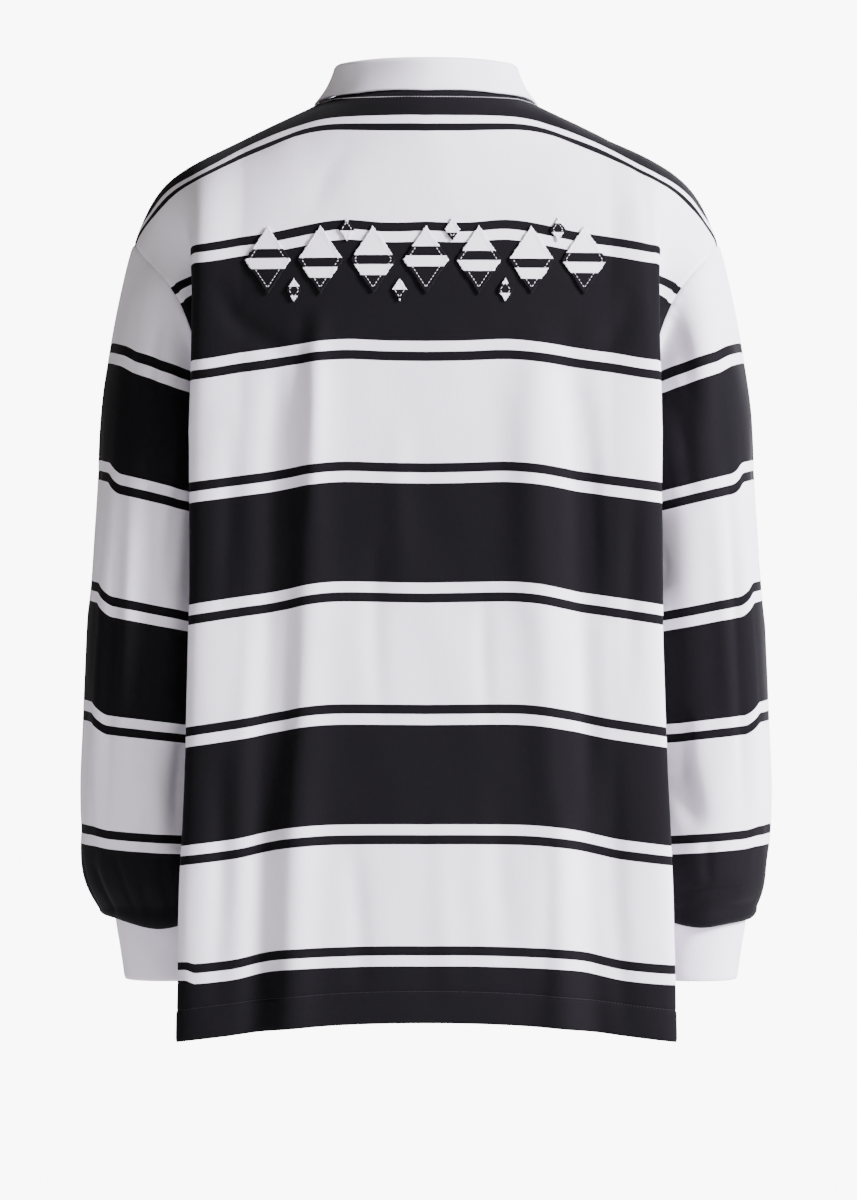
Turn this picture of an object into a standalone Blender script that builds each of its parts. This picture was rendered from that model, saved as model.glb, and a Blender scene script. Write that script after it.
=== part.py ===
"""Long-sleeve polo shirt in its worn form: hollow, held by nothing but its own shape.

Metres, +Z up. The wearer's front faces -Y and the wearer's left is +X. The origin is the middle of the neck
opening, level with the high points of the shoulders. Sizes below are millimetres, times MM where a mesh
is made. Every cloth piece is a grid of points on the garment's form, thickened with Solidify.
"""
import math
from collections import namedtuple

import bmesh
import bpy
import numpy as np
from mathutils import Matrix

MM = 0.001
COLLECTION = "long_sleeve_polo_shirt"

# ---- cloth ----
JERSEY_THICK = 1.6
RIB_THICK = 2.2
PATCH_THICK = 1.0
SEAM_GAP = 0.4            # between two pieces that are sewn edge to edge
LAID_GAP = 0.5            # between a panel and what is sewn flat on it

# ---- shoulder line, from the neck to the shoulder point, the same for front and back ----
Ridge = namedtuple("Ridge", "x z")
SHOULDER_RIDGE = (
    Ridge(0, 28),
    Ridge(60, 10),
    Ridge(92, -6.5),
    Ridge(142, -30.5),
    Ridge(183, -51.5),
    Ridge(211, -68),
    Ridge(227, -94),
    Ridge(239, -119),
)
NECK_HALF_WIDTH = 80
FOLD_X_AT_RIDGE = 190
FOLD_PINCH = 2.5          # the folds by the arms stand this much nearer halfway down to the chest

# ---- the two faces of the body above the chest ----
Face = namedtuple("Face", "sign low power neck_depth depth_column fold_column fold_x_column")
BACK = Face(1, -160, 2.0, 52, "back_y", "back_fold_y", "back_fold_x")
FRONT = Face(-1, -240, 1.6, 85, "front_y", "front_fold_y", "front_fold_x")

# ---- level sections of the body, from the chest to the hem ----
Section = namedtuple("Section", "z back_y back_fold_x back_fold_y front_y front_fold_x front_fold_y "
                                "wall_x wall_y side_x")
BODY_SECTIONS = (
    Section(-160, 116, 190, 95, 127, 187, 92, 172, 50, 160),
    Section(-261, 115, 188, 95, 129, 187, 92, 171, 50, 161),
    Section(-400, 105, 189, 89, 129, 186, 90, 170, 47, 160),
    Section(-520, 106, 192, 89, 127, 187, 89, 171, 47, 161),
    Section(-640, 110, 197, 91, 126, 189, 89, 173, 48, 163),
    Section(-747, 114, 199, 94, 124, 191, 89, 176, 54, 167),
)
VENT_TOP_Z = -682
VENT_SPREAD = 20          # how far each side of a vent swings open at the hem
VENT_POWER = 1.5          # how late a vent swings open on the way down
SECTION_ROUNDNESS = 2.6
SIDE_DROP = 14            # the threads hang this much lower at the sides than in the middle
DROP_POWER = 2.2
HEM_DIP = 0.2             # by the hem the drop has grown by this share
CHEST_Z = -261
HEM_Z = -747
LOWER_ROWS = 8

# ---- thread rows of the body round the armhole, from the shoulder line to the underarm ----
ArmRow = namedtuple("ArmRow", "fold_z wall_x wall_y wall_z seam_x seam_y seam_z")
ARM_ROWS = (
    ArmRow(-52.0, 216, 0, -74, 239, 0, -119),
    ArmRow(-55.5, 215, 18, -78, 236, 14, -123),
    ArmRow(-67.0, 211, 37, -91, 231, 27, -130),
    ArmRow(-92.0, 200, 48, -118, 222, 41, -140),
    ArmRow(-118.0, 189, 51, -141, 210, 52, -153),
    ArmRow(-150.0, 184, 60, -166, 197, 56, -174),
    ArmRow(-180.0, 182, 70, -192, 187, 54, -203),
    ArmRow(-215.0, 181, 72, -226, 177, 44, -238),
    ArmRow(-247.0, 177, 62, -253, 168, 25, -260),
    ArmRow(-275.0, 171, 50, -275, 161, 0, -271),
)
ARM_STEPS = (0, 0.5, 1, 1.5, 2, 3, 3.5, 4, 4.5, 5, 5.5, 6, 6.5, 7, 7.5, 8, 9)
COLUMNS_BACK = (0, 20, 40, 58, 71, 80, 103, 127, 150)
COLUMNS_FRONT = (0, 15, 29, 43, 58, 71, 80, 103, 127, 150)
FOLD_STEPS = 8            # columns from the last straight one round the fold to the seam

# ---- largest folds of the body: a ridge or, below nought, a trough ----
BodyFold = namedtuple("BodyFold", "face x_top z_top x_hem width depth")
BODY_FOLDS = (
    BodyFold(1, 108, -330, 116, 20, 5),
    BodyFold(1, 146, -300, 152, 16, -4),
    BodyFold(1, -112, -340, -120, 20, 5),
    BodyFold(1, -152, -300, -156, 16, -4),
    BodyFold(-1, 95, -320, 105, 26, 5),
    BodyFold(-1, -88, -300, -104, 26, 5),
)
FOLD_FADE = 90

# ---- sleeves, the left one; the right one is its mirror ----
SleeveRing = namedtuple("SleeveRing", "z outer_x half_width centre_y half_depth")
SLEEVE_RINGS = (
    SleeveRing(-303, 268.0, 50, 0, 73),
    SleeveRing(-360, 272.5, 51, -1, 74),
    SleeveRing(-420, 276.5, 52, -3, 73),
    SleeveRing(-480, 280.0, 53, -7, 71),
    SleeveRing(-540, 283.0, 54, -12, 68),
    SleeveRing(-590, 283.5, 54, -17, 65),
    SleeveRing(-625, 280.0, 52, -20, 61),
    SleeveRing(-648, 275.0, 48, -23, 56),
    SleeveRing(-662, 268.5, 43, -25, 50),
)
SleeveFold = namedtuple("SleeveFold", "angle width depth z_top z_end")
SLEEVE_FOLDS = (
    SleeveFold(44, 20, 3.5, -303, -610),
    SleeveFold(84, 18, -3, -303, -560),
    SleeveFold(300, 24, 3, -330, -620),
    SleeveFold(255, 20, -3, -303, -580),
)
SLEEVE_ROWS = 8
CAP_ROWS = 5
CAP_PULL = 0.4
SEAM_FLAT = 2.5             # strip of the sleeve along the seam that lies in line with the panel
SEAM_PULL = 16            # how far past it the sleeve turns down
BLOUSE_LIP = 4.5          # how far the sleeve's lowest edge stands out from the cuff
CUFF_TOP_Z = -670
CUFF_END_Z = -722
CUFF_TOP = SleeveRing(CUFF_TOP_Z, 259.5, 37.5, -26, 38)
CUFF_END = SleeveRing(CUFF_END_Z, 252.0, 35.0, -32, 36)
WRIST_SHIFT = -4          # both wrists lie this far to the wearer's right
WRIST_SHIFT_TOP = -622
WRIST_SHIFT_FULL = -672
CUFF_ROWS = 3
CUFF_COLUMNS = 28
LIP_DROP = 0.8            # how far the sleeve's lowest edge hangs below its seam

# ---- collar: where its seam, fold and outer edge run, by side distance and turn round the neck ----
CollarStation = namedtuple("CollarStation", "place fold_x fold_y fold_z edge_x edge_turn")
COLLAR = (
    CollarStation(0, 0, 54, 25.5, 0, 33),
    CollarStation(2, 37, 44, 25.5, 43, 27),
    CollarStation(4, 63, 23, 24.5, 74, 14),
    CollarStation(5, 69, 2, 22.0, 88, 0),
    CollarStation(7, 53, -50, -16.0, 85, -30),
    CollarStation(9, 25, -78, -45.0, 72, -46),
    CollarStation(11, 4, -88, -58.0, 48, -58),
)
NECK_BACK = (0, 20, 40, 58, 71, 80)
NECK_FRONT = (71, 58, 43, 29, 15, 4)
COLLAR_LIFT = 1.6         # clears the neck edge of the panels, whose wall slopes
STAND_ROWS = 3
LEAF_ROWS = 5
FOLD_RADIUS = 3.0
FOLD_RISE = 2.4           # how far the crest of the fold stands above the stand
LEAF_CLEARANCE = 4.2

# ---- placket and buttons ----
PLACKET_HALF = 15
PLACKET_OVERLAP = 2
PLACKET_END = 14          # index in ARM_STEPS of the row where the slit ends
PLACKET_COLUMNS = 5
PLACKET_UNDER_SHORT = 0.01   # the lower strip stops this share of a step before the slit's end
PLACKET_TOP_LONG = 0.1    # and the upper one goes this share of a step past it
BUTTON_RADIUS = 5.5
BUTTON_THICK = 2.4
BUTTON_GAP = 0.3
BUTTON_HEIGHTS = (-84, -140, -196)
BUTTON_STEPS = 16
BUTTON_PROFILE = (        # from the middle of its face to that of its back, in shares of its sizes
    (0, 0.4),
    (0.62, 0.4),
    (0.75, 1),
    (0.92, 1),
    (1, 0.4),
    (1, -0.5),
    (0.85, -1),
    (0, -1),
)

# ---- applique lozenges across the upper back ----
LOZENGE_COUNT = 7
LOZENGE_PITCH = 42
LOZENGE_Z = -139
LOZENGE_SIZE = (18, 27)
SMALL_LOZENGE_SIZE = (6, 9)
SMALL_LOZENGE_RISE = 24   # small ones stand this far above and below the middle, by turns
LOZENGE_CELLS = 3


def spline(knots, values, at):
    """Natural cubic through values at the knots, read at each place in at."""
    knots = np.asarray(knots, float)
    values = np.asarray(values, float)
    flat = values.reshape(len(knots), -1)
    step = np.diff(knots)
    matrix = np.eye(len(knots))
    right = np.zeros_like(flat)
    for i in range(1, len(knots) - 1):
        matrix[i, i - 1:i + 2] = step[i - 1], 2 * (step[i - 1] + step[i]), step[i]
        right[i] = 6 * ((flat[i + 1] - flat[i]) / step[i] - (flat[i] - flat[i - 1]) / step[i - 1])
    bend = np.linalg.solve(matrix, right)
    at = np.asarray(at, float)
    i = np.clip(np.searchsorted(knots, at.ravel()) - 1, 0, len(knots) - 2)
    a = ((knots[i + 1] - at.ravel()) / step[i])[:, None]
    b = 1 - a
    curve = (a ** 3 - a) * bend[i] + (b ** 3 - b) * bend[i + 1]
    out = a * flat[i] + b * flat[i + 1] + curve * step[i][:, None] ** 2 / 6
    return out.reshape(at.shape + values.shape[1:])


def column(table, name):
    return [getattr(row, name) for row in table]


def section_value(name, z):
    """A value of the body's level sections at height z."""
    rising = BODY_SECTIONS[::-1]
    z = np.clip(z, rising[0].z, rising[-1].z)
    return spline(column(rising, "z"), column(rising, name), z)


def ridge_z(x):
    return spline(column(SHOULDER_RIDGE, "x"), column(SHOULDER_RIDGE, "z"), np.abs(x))


def full_depth(face, x, z):
    """How far the face stands from the middle plane where it hangs upright."""
    middle = section_value(face.depth_column, z)
    fold = section_value(face.fold_column, z)
    share = np.abs(x) / section_value(face.fold_x_column, z)
    return middle + (fold - middle) * share ** SECTION_ROUNDNESS


def smooth(t):
    """Soft step from 0 to 1."""
    return t * t * (3 - 2 * t)


def fold_relief(face, x, z):
    """Height of the soft upright folds, which start below the shoulder blades."""
    relief = np.zeros(np.broadcast(x, z).shape)
    for fold in BODY_FOLDS:
        if fold.face != face.sign:
            continue
        down = np.clip((fold.z_top - z) / (fold.z_top - HEM_Z), 0, 1)
        fade = np.clip((fold.z_top - z) / FOLD_FADE, 0, 1)
        middle = fold.x_top + (fold.x_hem - fold.x_top) * down
        relief = relief + fold.depth * smooth(fade) * np.exp(-((x - middle) / fold.width) ** 2)
    return relief


def face_y(face, x, z):
    """Depth of a face: upright below face.low, then a superellipse over to the shoulder line."""
    depth = full_depth(face, x, np.minimum(z, face.low)) + fold_relief(face, x, z)
    rise = np.clip((z - face.low) / (ridge_z(x) - face.low), 0, 1)
    return face.sign * depth * (1 - rise ** face.power) ** (1 / face.power)


def turn_point(face, x, turn):
    """Point of a face above the chest, by side distance and degrees of turn from the shoulder line."""
    rise = np.cos(np.radians(np.abs(turn))) ** (2 / face.power)
    z = face.low + (ridge_z(x) - face.low) * rise
    return np.stack([x, face_y(face, x, z), z], axis=-1)


def top_z(face, x):
    """Height of a face's top edge: the neck seam between the shoulder lines, else the shoulder line."""
    inside = np.clip(1 - (x / NECK_HALF_WIDTH) ** 2, 0, 1)
    y = face.neck_depth * np.sqrt(inside)
    share = y / full_depth(face, x, face.low + 0 * x)
    rise = (1 - share ** face.power) ** (1 / face.power)
    return face.low + (ridge_z(x) - face.low) * rise


def row_fall(step):
    """How far down from the top edge to the chest row a thread row lies, from 0 to 1."""
    fold_z = np.array(column(ARM_ROWS, "fold_z"))
    fall = (fold_z - fold_z[0]) / (fold_z[-1] - fold_z[0])
    return np.interp(step, range(len(ARM_ROWS)), fall)


def fold_x_at(face, step):
    chest = section_value(face.fold_x_column, CHEST_Z)
    down = np.clip(step / (len(ARM_ROWS) - 1), 0, 1)
    return FOLD_X_AT_RIDGE + (chest - FOLD_X_AT_RIDGE) * down - FOLD_PINCH * np.sin(math.pi * down)


def drop(x):
    return SIDE_DROP * np.minimum(np.abs(x) / FOLD_X_AT_RIDGE, 1) ** DROP_POWER


def upper_point(face, x_top, step):
    """Point of the part of a face above the chest, by its column at the top edge and its thread row."""
    x = x_top * fold_x_at(face, step) / FOLD_X_AT_RIDGE
    high = top_z(face, x_top + 0 * step)
    z = high + (CHEST_Z - drop(x) - high) * row_fall(step)
    return np.stack([x + 0 * z, face_y(face, x, z), z], axis=-1)


def dip(z_middle):
    """Growth of the side drop from 1 at the chest towards the hem."""
    return 1 + HEM_DIP * (CHEST_Z - z_middle) / (CHEST_Z - HEM_Z)


def lower_point(face, x_top, z_middle):
    """Point of the part of a face below the chest, by column and by its row's height in the middle."""
    x = x_top * section_value(face.fold_x_column, z_middle) / FOLD_X_AT_RIDGE
    z = z_middle - drop(x) * dip(z_middle)
    return np.stack([x + 0 * z, face_y(face, x, z), z + 0 * x], axis=-1)


def arm_points(face, step):
    """Points of a thread row past the fold: the middle of the wall, and the armhole seam."""
    values = np.array([row[1:] for row in ARM_ROWS], float)
    across = values[2:0:-1] * (1, -1, 1, 1, -1, 1)
    found = spline(range(-2, len(ARM_ROWS)), np.concatenate([across, values]), step)
    mirror = (1, face.sign, 1)
    return found[..., 0:3] * mirror, found[..., 3:6] * mirror


def unit(vectors):
    return vectors / np.linalg.norm(vectors, axis=-1, keepdims=True)


def cross_row(face, straight, fold, wall, seam):
    """Points past the last straight column, round the fold to the seam."""
    keys = np.stack([straight[-2], straight[-1], fold, wall, seam])
    length = np.concatenate([[0], np.cumsum(np.linalg.norm(np.diff(keys, axis=0), axis=1))])
    at = np.linspace(length[1], length[-1], FOLD_STEPS + 1)[1:]
    return spline(length, keys, at)


def seam_out(rows):
    """Way out of the armhole seam at each row: square to the seam, in line with the panel."""
    seam, before = rows[:, -1], rows[:, -2]
    along = unit(np.gradient(seam, axis=0))
    along[0] = 0, 1, 0
    out = seam - before
    out = out - along * np.sum(out * along, axis=1, keepdims=True)
    out[-1] = 0, 0, 1
    return unit(out)


def upper_rows(face, columns):
    """Rows of the +X half of a face from the shoulder line to the underarm, whole up to the seam."""
    rows = []
    for step in ARM_STEPS:
        straight = upper_point(face, np.array(columns, float), step)
        fold = upper_point(face, np.array([FOLD_X_AT_RIDGE], float), step)[0]
        rows.append(np.vstack([straight, cross_row(face, straight, fold, *arm_points(face, step))]))
    return np.array(rows)


def lower_rows(face, columns):
    """Rows of the +X half of a face from below the underarm to the hem, where the vent opens."""
    rows = []
    for z in np.linspace(CHEST_Z, HEM_Z, LOWER_ROWS + 1)[1:]:
        straight = lower_point(face, np.array(columns, float), z)
        fold = lower_point(face, np.array([FOLD_X_AT_RIDGE], float), z)[0]
        low = z - SIDE_DROP * dip(z)
        wall = np.array([section_value("wall_x", z), face.sign * section_value("wall_y", z), low])
        open_share = np.clip((VENT_TOP_Z - z) / (VENT_TOP_Z - HEM_Z), 0, 1)
        edge_y = face.sign * (VENT_SPREAD * open_share ** VENT_POWER + SEAM_GAP / 2)
        side = np.array([section_value("side_x", z), edge_y, low])
        rows.append(np.vstack([straight, cross_row(face, straight, fold, wall, side)]))
    return np.array(rows)


def face_grid(face, columns):
    """Grid of a whole face: rows from top to hem, columns from -X to +X."""
    upper = upper_rows(face, columns)
    upper[:, -1] -= seam_out(upper) * SEAM_GAP / 2
    upper[0, :, 1] += face.sign * SEAM_GAP / 2
    upper[-1, -1, 1] += face.sign * SEAM_GAP / 2
    half = np.concatenate([upper, lower_rows(face, columns)])
    return np.concatenate([half[:, :0:-1] * (-1, 1, 1), half], axis=1)


def make_object(name, mesh, material, collection, thickness=None):
    item = bpy.data.objects.new(name, mesh)
    mesh.materials.append(material)
    mesh.shade_smooth()
    collection.objects.link(item)
    if thickness:
        shell = item.modifiers.new("cloth thickness", "SOLIDIFY")
        shell.thickness = thickness * MM
        shell.offset = 0
    return item


def grid_mesh(name, grid, closed=False, skip=lambda row, col: False, flip=False):
    """Quad mesh through a grid of millimetre points; closed joins the last column to the first."""
    rows, cols = grid.shape[:2]
    faces = []
    for r in range(rows - 1):
        for c in range(cols if closed else cols - 1):
            if skip(r, c):
                continue
            n = (c + 1) % cols
            quad = (r * cols + c, (r + 1) * cols + c, (r + 1) * cols + n, r * cols + n)
            faces.append(quad[::-1] if flip else quad)
    mesh = bpy.data.meshes.new(name)
    mesh.from_pydata((grid.reshape(-1, 3) * MM).tolist(), [], faces)
    loose = bmesh.new()
    loose.from_mesh(mesh)
    bmesh.ops.delete(loose, geom=[v for v in loose.verts if not v.link_faces], context="VERTS")
    loose.to_mesh(mesh)
    loose.free()
    return mesh


def material(name, colour, roughness):
    made = bpy.data.materials.new(name)
    made.use_nodes = True
    shader = made.node_tree.nodes["Principled BSDF"]
    shader.inputs["Base Color"].default_value = (*colour, 1)
    shader.inputs["Roughness"].default_value = roughness
    shader.inputs["Metallic"].default_value = 0
    made.diffuse_color = (*colour, 1)
    return made


def ring(spec, angles, relief=0):
    """Level oval, angle 0 on its outer side and a quarter turn at its back, moved out by relief."""
    centre_x = spec.outer_x - spec.half_width
    x = centre_x + (spec.half_width + relief) * np.cos(angles)
    y = spec.centre_y + (spec.half_depth + relief) * np.sin(angles)
    return np.stack([x, y, np.full_like(x, spec.z)], axis=-1)


def wrist_shift(points):
    """Points of an arm moved to the side towards the wrist."""
    down = np.clip((WRIST_SHIFT_TOP - points[..., 2:]) / (WRIST_SHIFT_TOP - WRIST_SHIFT_FULL), 0, 1)
    return points + WRIST_SHIFT * smooth(down) * (1, 0, 0)


def sleeve_relief(z, angles):
    """Height of the sleeve's soft upright folds on a ring."""
    relief = np.zeros_like(angles)
    for fold in SLEEVE_FOLDS:
        along = np.clip((z - fold.z_end) / (fold.z_top - fold.z_end), 0, 1)
        off = (np.degrees(angles) - fold.angle + 180) % 360 - 180
        relief += fold.depth * math.sin(math.pi * along) * np.exp(-(off / fold.width) ** 2)
    return relief


def ring_at(z):
    rising = SLEEVE_RINGS[::-1]
    values = spline(column(rising, "z"), np.array([row[1:] for row in rising], float), z)
    return SleeveRing(z, *values)


def armhole():
    """Seam points all round the armhole, from the shoulder point over the back, and the ways out."""
    back = upper_rows(BACK, COLUMNS_BACK)
    front = upper_rows(FRONT, COLUMNS_FRONT)
    seam = np.concatenate([back[:, -1], front[-2:0:-1, -1]])
    out = np.concatenate([seam_out(back), seam_out(front)[-2:0:-1]])
    run = np.concatenate([[0], np.cumsum(np.linalg.norm(np.diff(back[:, -1], axis=0), axis=1))])
    half = run / run[-1] * math.pi
    angles = np.concatenate([half, 2 * math.pi - half[-2:0:-1]])
    return seam, out, angles


def sleeve_grid():
    """Left sleeve, from the armhole seam to the seam of the cuff."""
    seam, out, angles = armhole()
    edge = seam + out * SEAM_GAP / 2
    start = edge + out * SEAM_FLAT
    end = ring(ring_at(SLEEVE_RINGS[0].z), angles)
    pull = CAP_PULL * np.linalg.norm(end - start, axis=1)[:, None]
    first_pull = np.minimum(pull, SEAM_PULL)
    rows = [edge]
    for t in np.linspace(0, 1, CAP_ROWS + 1)[:-1]:
        a, b = start + out * first_pull, end + np.array([0, 0, 1]) * pull
        rows.append((1 - t) ** 3 * start + 3 * (1 - t) ** 2 * t * a + 3 * (1 - t) * t ** 2 * b + t ** 3 * end)
    for z in np.linspace(SLEEVE_RINGS[0].z, SLEEVE_RINGS[-1].z, SLEEVE_ROWS + 1):
        rows.append(ring(ring_at(z), angles, sleeve_relief(z, angles)))
    rest = CUFF_TOP_Z + SEAM_GAP + JERSEY_THICK / 2
    for grow, z in ((BLOUSE_LIP, rest - LIP_DROP), (0, rest)):
        lip = CUFF_TOP._replace(z=z, outer_x=CUFF_TOP.outer_x + grow,
                                half_width=CUFF_TOP.half_width + grow, half_depth=CUFF_TOP.half_depth + grow)
        rows.append(ring(lip, angles))
    return np.array(rows)


def cuff_grid():
    angles = np.linspace(0, 2 * math.pi, CUFF_COLUMNS, endpoint=False)
    rows = []
    for t in np.linspace(0, 1, CUFF_ROWS + 1):
        spec = SleeveRing(*[a + (b - a) * t for a, b in zip(CUFF_TOP, CUFF_END)])
        rows.append(ring(spec, angles))
    return np.array(rows)


def neck_points():
    """Neck edge of the left half, from the middle of the back to the front, at the panels' own columns."""
    back = upper_point(BACK, np.array(NECK_BACK, float), 0)
    front = upper_point(FRONT, np.array(NECK_FRONT, float), 0)
    return np.concatenate([back, front]) + (0, 0, COLLAR_LIFT)


def collar_grid():
    """Stand from the neck seam up to the fold, and leaf from the fold down to the outer edge."""
    seams = neck_points()
    keys = np.array([row[1:] for row in COLLAR], float)
    run = spline(column(COLLAR, "place"), keys, np.arange(len(seams)))
    rows = []
    for seam, station in zip(seams, run):
        fold, (edge_x, edge_turn) = station[:3], station[3:]
        face = BACK if edge_turn >= 0 else FRONT
        edge = turn_point(face, np.float64(edge_x), edge_turn)
        edge = edge + unit(edge - (0, 0, CHEST_Z)) * LEAF_CLEARANCE
        over = unit((edge - fold) * (1, 1, 0))
        crest = fold + over * FOLD_RADIUS + (0, 0, FOLD_RISE)
        outer = fold + over * 2 * FOLD_RADIUS
        stand = [seam + (fold - seam) * t for t in np.linspace(0, 1, STAND_ROWS + 1)]
        leaf = [outer + (edge - outer) * t for t in np.linspace(0, 1, LEAF_ROWS + 1)]
        rows.append(stand + [crest] + leaf)
    half = np.array(rows).transpose(1, 0, 2)
    return np.concatenate([half[:, :0:-1] * (-1, 1, 1), half], axis=1)


def outward(face, point):
    """Unit vector out of a face at each point of it."""
    x, z = point[..., 0], point[..., 2]
    reach = 0.5
    slope_x = (face_y(face, x + reach, z) - face_y(face, x - reach, z)) / (2 * reach)
    slope_z = (face_y(face, x, z + reach) - face_y(face, x, z - reach)) / (2 * reach)
    return unit(np.stack([-slope_x, np.ones_like(slope_x), -slope_z], axis=-1) * face.sign)


def placket_grid(half_width, last_step, lift):
    """Strip of the front panel's own points round the middle, moved out."""
    rows = []
    for step in (*ARM_STEPS[:PLACKET_END], last_step):
        x = np.linspace(-half_width, half_width, PLACKET_COLUMNS)
        points = upper_point(FRONT, x, step)
        rows.append(points + outward(FRONT, points) * lift)
    return np.array(rows)


def lozenge_grid(centre_x, centre_z, half_width, half_height, lift):
    """Lozenge on the back panel's own form: its rows and columns run along its sides."""
    t = np.linspace(-1, 1, LOZENGE_CELLS + 1)
    a, b = np.meshgrid(t, t)
    x = centre_x + half_width * (a - b) / 2
    z = centre_z - half_height * (a + b) / 2
    points = np.stack([x, face_y(BACK, x, z), z], axis=-1)
    return points + outward(BACK, points) * lift


def button_mesh():
    """Profile of a button in its own frame; its face looks along +Z."""
    mesh = bpy.data.meshes.new("button")
    points = [(r * BUTTON_RADIUS * MM, 0, z * BUTTON_THICK / 2 * MM) for r, z in BUTTON_PROFILE]
    mesh.from_pydata(points, [(i, i + 1) for i in range(len(points) - 1)], [])
    return mesh


def add_button(name, place, out, finish, collection):
    """Turned disc with a raised rim, facing out of the placket."""
    item = make_object(name, button_mesh(), finish, collection)
    turn = item.modifiers.new("turn", "SCREW")
    turn.steps = BUTTON_STEPS
    turn.render_steps = BUTTON_STEPS
    turn.use_merge_vertices = True
    turn.merge_threshold = 0.00005
    x_axis = unit(np.cross((0, 0, 1), out))
    frame = np.eye(4)
    frame[:3, 0] = x_axis
    frame[:3, 1] = np.cross(out, x_axis)
    frame[:3, 2] = out
    frame[:3, 3] = np.array(place) * MM
    item.matrix_world = Matrix(frame.tolist())


def add_panels(jersey, collection):
    back = grid_mesh("back_panel", face_grid(BACK, COLUMNS_BACK))
    make_object("back_panel", back, jersey, collection, JERSEY_THICK)
    grid = face_grid(FRONT, COLUMNS_FRONT)
    middle = grid.shape[1] // 2

    def slit(row, col):
        return row < PLACKET_END and col in (middle - 1, middle)

    front = grid_mesh("front_panel", grid, skip=slit, flip=True)
    make_object("front_panel", front, jersey, collection, JERSEY_THICK)


def add_arms(jersey, rib, collection):
    for name, grid, finish, thick in (("sleeve_", sleeve_grid(), jersey, JERSEY_THICK),
                                      ("cuff_", cuff_grid(), rib, RIB_THICK)):
        for side, sign in (("left", 1), ("right", -1)):
            points = wrist_shift(grid * (sign, 1, 1))
            mesh = grid_mesh(name + side, points, closed=True, flip=sign > 0)
            make_object(name + side, mesh, finish, collection, thick)


def add_collar(rib, collection):
    make_object("collar", grid_mesh("collar", collar_grid()), rib, collection, RIB_THICK)


def add_placket(jersey, plastic, collection):
    end = ARM_STEPS[PLACKET_END]
    lift = JERSEY_THICK + LAID_GAP
    under = placket_grid(PLACKET_HALF - SEAM_GAP, end - PLACKET_UNDER_SHORT, 0)
    top = placket_grid(PLACKET_HALF + PLACKET_OVERLAP, end + PLACKET_TOP_LONG, lift)
    for name, grid in (("placket_under", under), ("placket_top", top)):
        make_object(name, grid_mesh(name, grid, flip=True), jersey, collection, JERSEY_THICK)
    for number, z in enumerate(BUTTON_HEIGHTS, 1):
        place = np.array([0, face_y(FRONT, np.float64(0), np.float64(z)), z], float)
        out = outward(FRONT, place)
        raised = place + out * (lift + JERSEY_THICK / 2 + BUTTON_GAP + BUTTON_THICK / 2)
        add_button("button_%d" % number, raised, out, plastic, collection)


def add_lozenges(finish, collection):
    """A row of large lozenges, with small ones between them, above and below by turns."""
    lift = JERSEY_THICK / 2 + LAID_GAP + PATCH_THICK / 2
    first = -(LOZENGE_COUNT - 1) / 2 * LOZENGE_PITCH
    for number in range(2 * LOZENGE_COUNT - 1):
        size, rise = LOZENGE_SIZE, 0
        if number % 2:
            size, rise = SMALL_LOZENGE_SIZE, SMALL_LOZENGE_RISE * (1 if number % 4 == 1 else -1)
        name = "lozenge_%02d" % (number + 1)
        patch = lozenge_grid(first + number * LOZENGE_PITCH / 2, LOZENGE_Z + rise, *size, lift)
        make_object(name, grid_mesh(name, patch), finish, collection, PATCH_THICK)


def main():
    for item in list(bpy.data.objects):
        bpy.data.objects.remove(item)
    collection = bpy.data.collections.new(COLLECTION)
    bpy.context.scene.collection.children.link(collection)
    jersey = material("white_jersey", (0.78, 0.76, 0.80), 0.85)
    rib = material("white_rib", (0.82, 0.81, 0.84), 0.9)
    add_panels(jersey, collection)
    add_arms(jersey, rib, collection)
    add_collar(rib, collection)
    add_placket(jersey, material("white_button", (0.85, 0.84, 0.82), 0.35), collection)
    add_lozenges(material("black_jersey", (0.015, 0.014, 0.017), 0.85), collection)


main()
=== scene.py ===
"""Finish of the long-sleeve polo shirt: fine cloth shells, stripes, stitching, buttons, stage and camera.

Points are worked out in millimetres, in the frame of the model, and turned to metres where a mesh is made.
The wearer's front faces -Y and the wearer's left is +X, so the camera stands behind, at +Y. The UV map of a
cloth piece holds its thread coordinates in metres: u across the fabric and w down it. Stripes come from w.
"""
import math
from collections import namedtuple

import bpy
import numpy as np
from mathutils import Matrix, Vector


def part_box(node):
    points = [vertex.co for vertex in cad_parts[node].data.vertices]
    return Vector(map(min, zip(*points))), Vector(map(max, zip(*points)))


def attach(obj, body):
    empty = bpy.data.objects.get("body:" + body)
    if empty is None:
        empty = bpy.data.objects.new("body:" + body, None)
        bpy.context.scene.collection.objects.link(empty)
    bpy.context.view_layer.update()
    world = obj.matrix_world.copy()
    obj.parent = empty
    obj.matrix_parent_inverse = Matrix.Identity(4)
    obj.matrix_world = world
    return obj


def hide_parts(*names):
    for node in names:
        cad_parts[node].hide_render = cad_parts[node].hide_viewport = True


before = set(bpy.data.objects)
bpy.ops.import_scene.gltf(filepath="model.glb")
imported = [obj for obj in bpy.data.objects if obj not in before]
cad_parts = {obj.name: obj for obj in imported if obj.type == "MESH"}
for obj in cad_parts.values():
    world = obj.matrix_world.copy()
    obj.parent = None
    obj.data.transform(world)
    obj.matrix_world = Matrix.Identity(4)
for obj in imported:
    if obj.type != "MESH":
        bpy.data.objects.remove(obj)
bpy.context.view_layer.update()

MM = 0.001


def table(columns, *rows):
    """Rows of values with named columns."""
    kind = namedtuple("Row", columns)
    return tuple(kind(*row) for row in rows)


# ---- photograph frame: the camera stands behind the shirt at the height of its middle ----
IMAGE_SIZE = (857, 1200)
PIXEL = 0.82              # millimetres for each pixel at the depth of the middle plane
CENTRE_PIXEL = (426, 100)   # where the origin lies in the photograph
CAMERA_DISTANCE = 4000
SENSOR = 36

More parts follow.
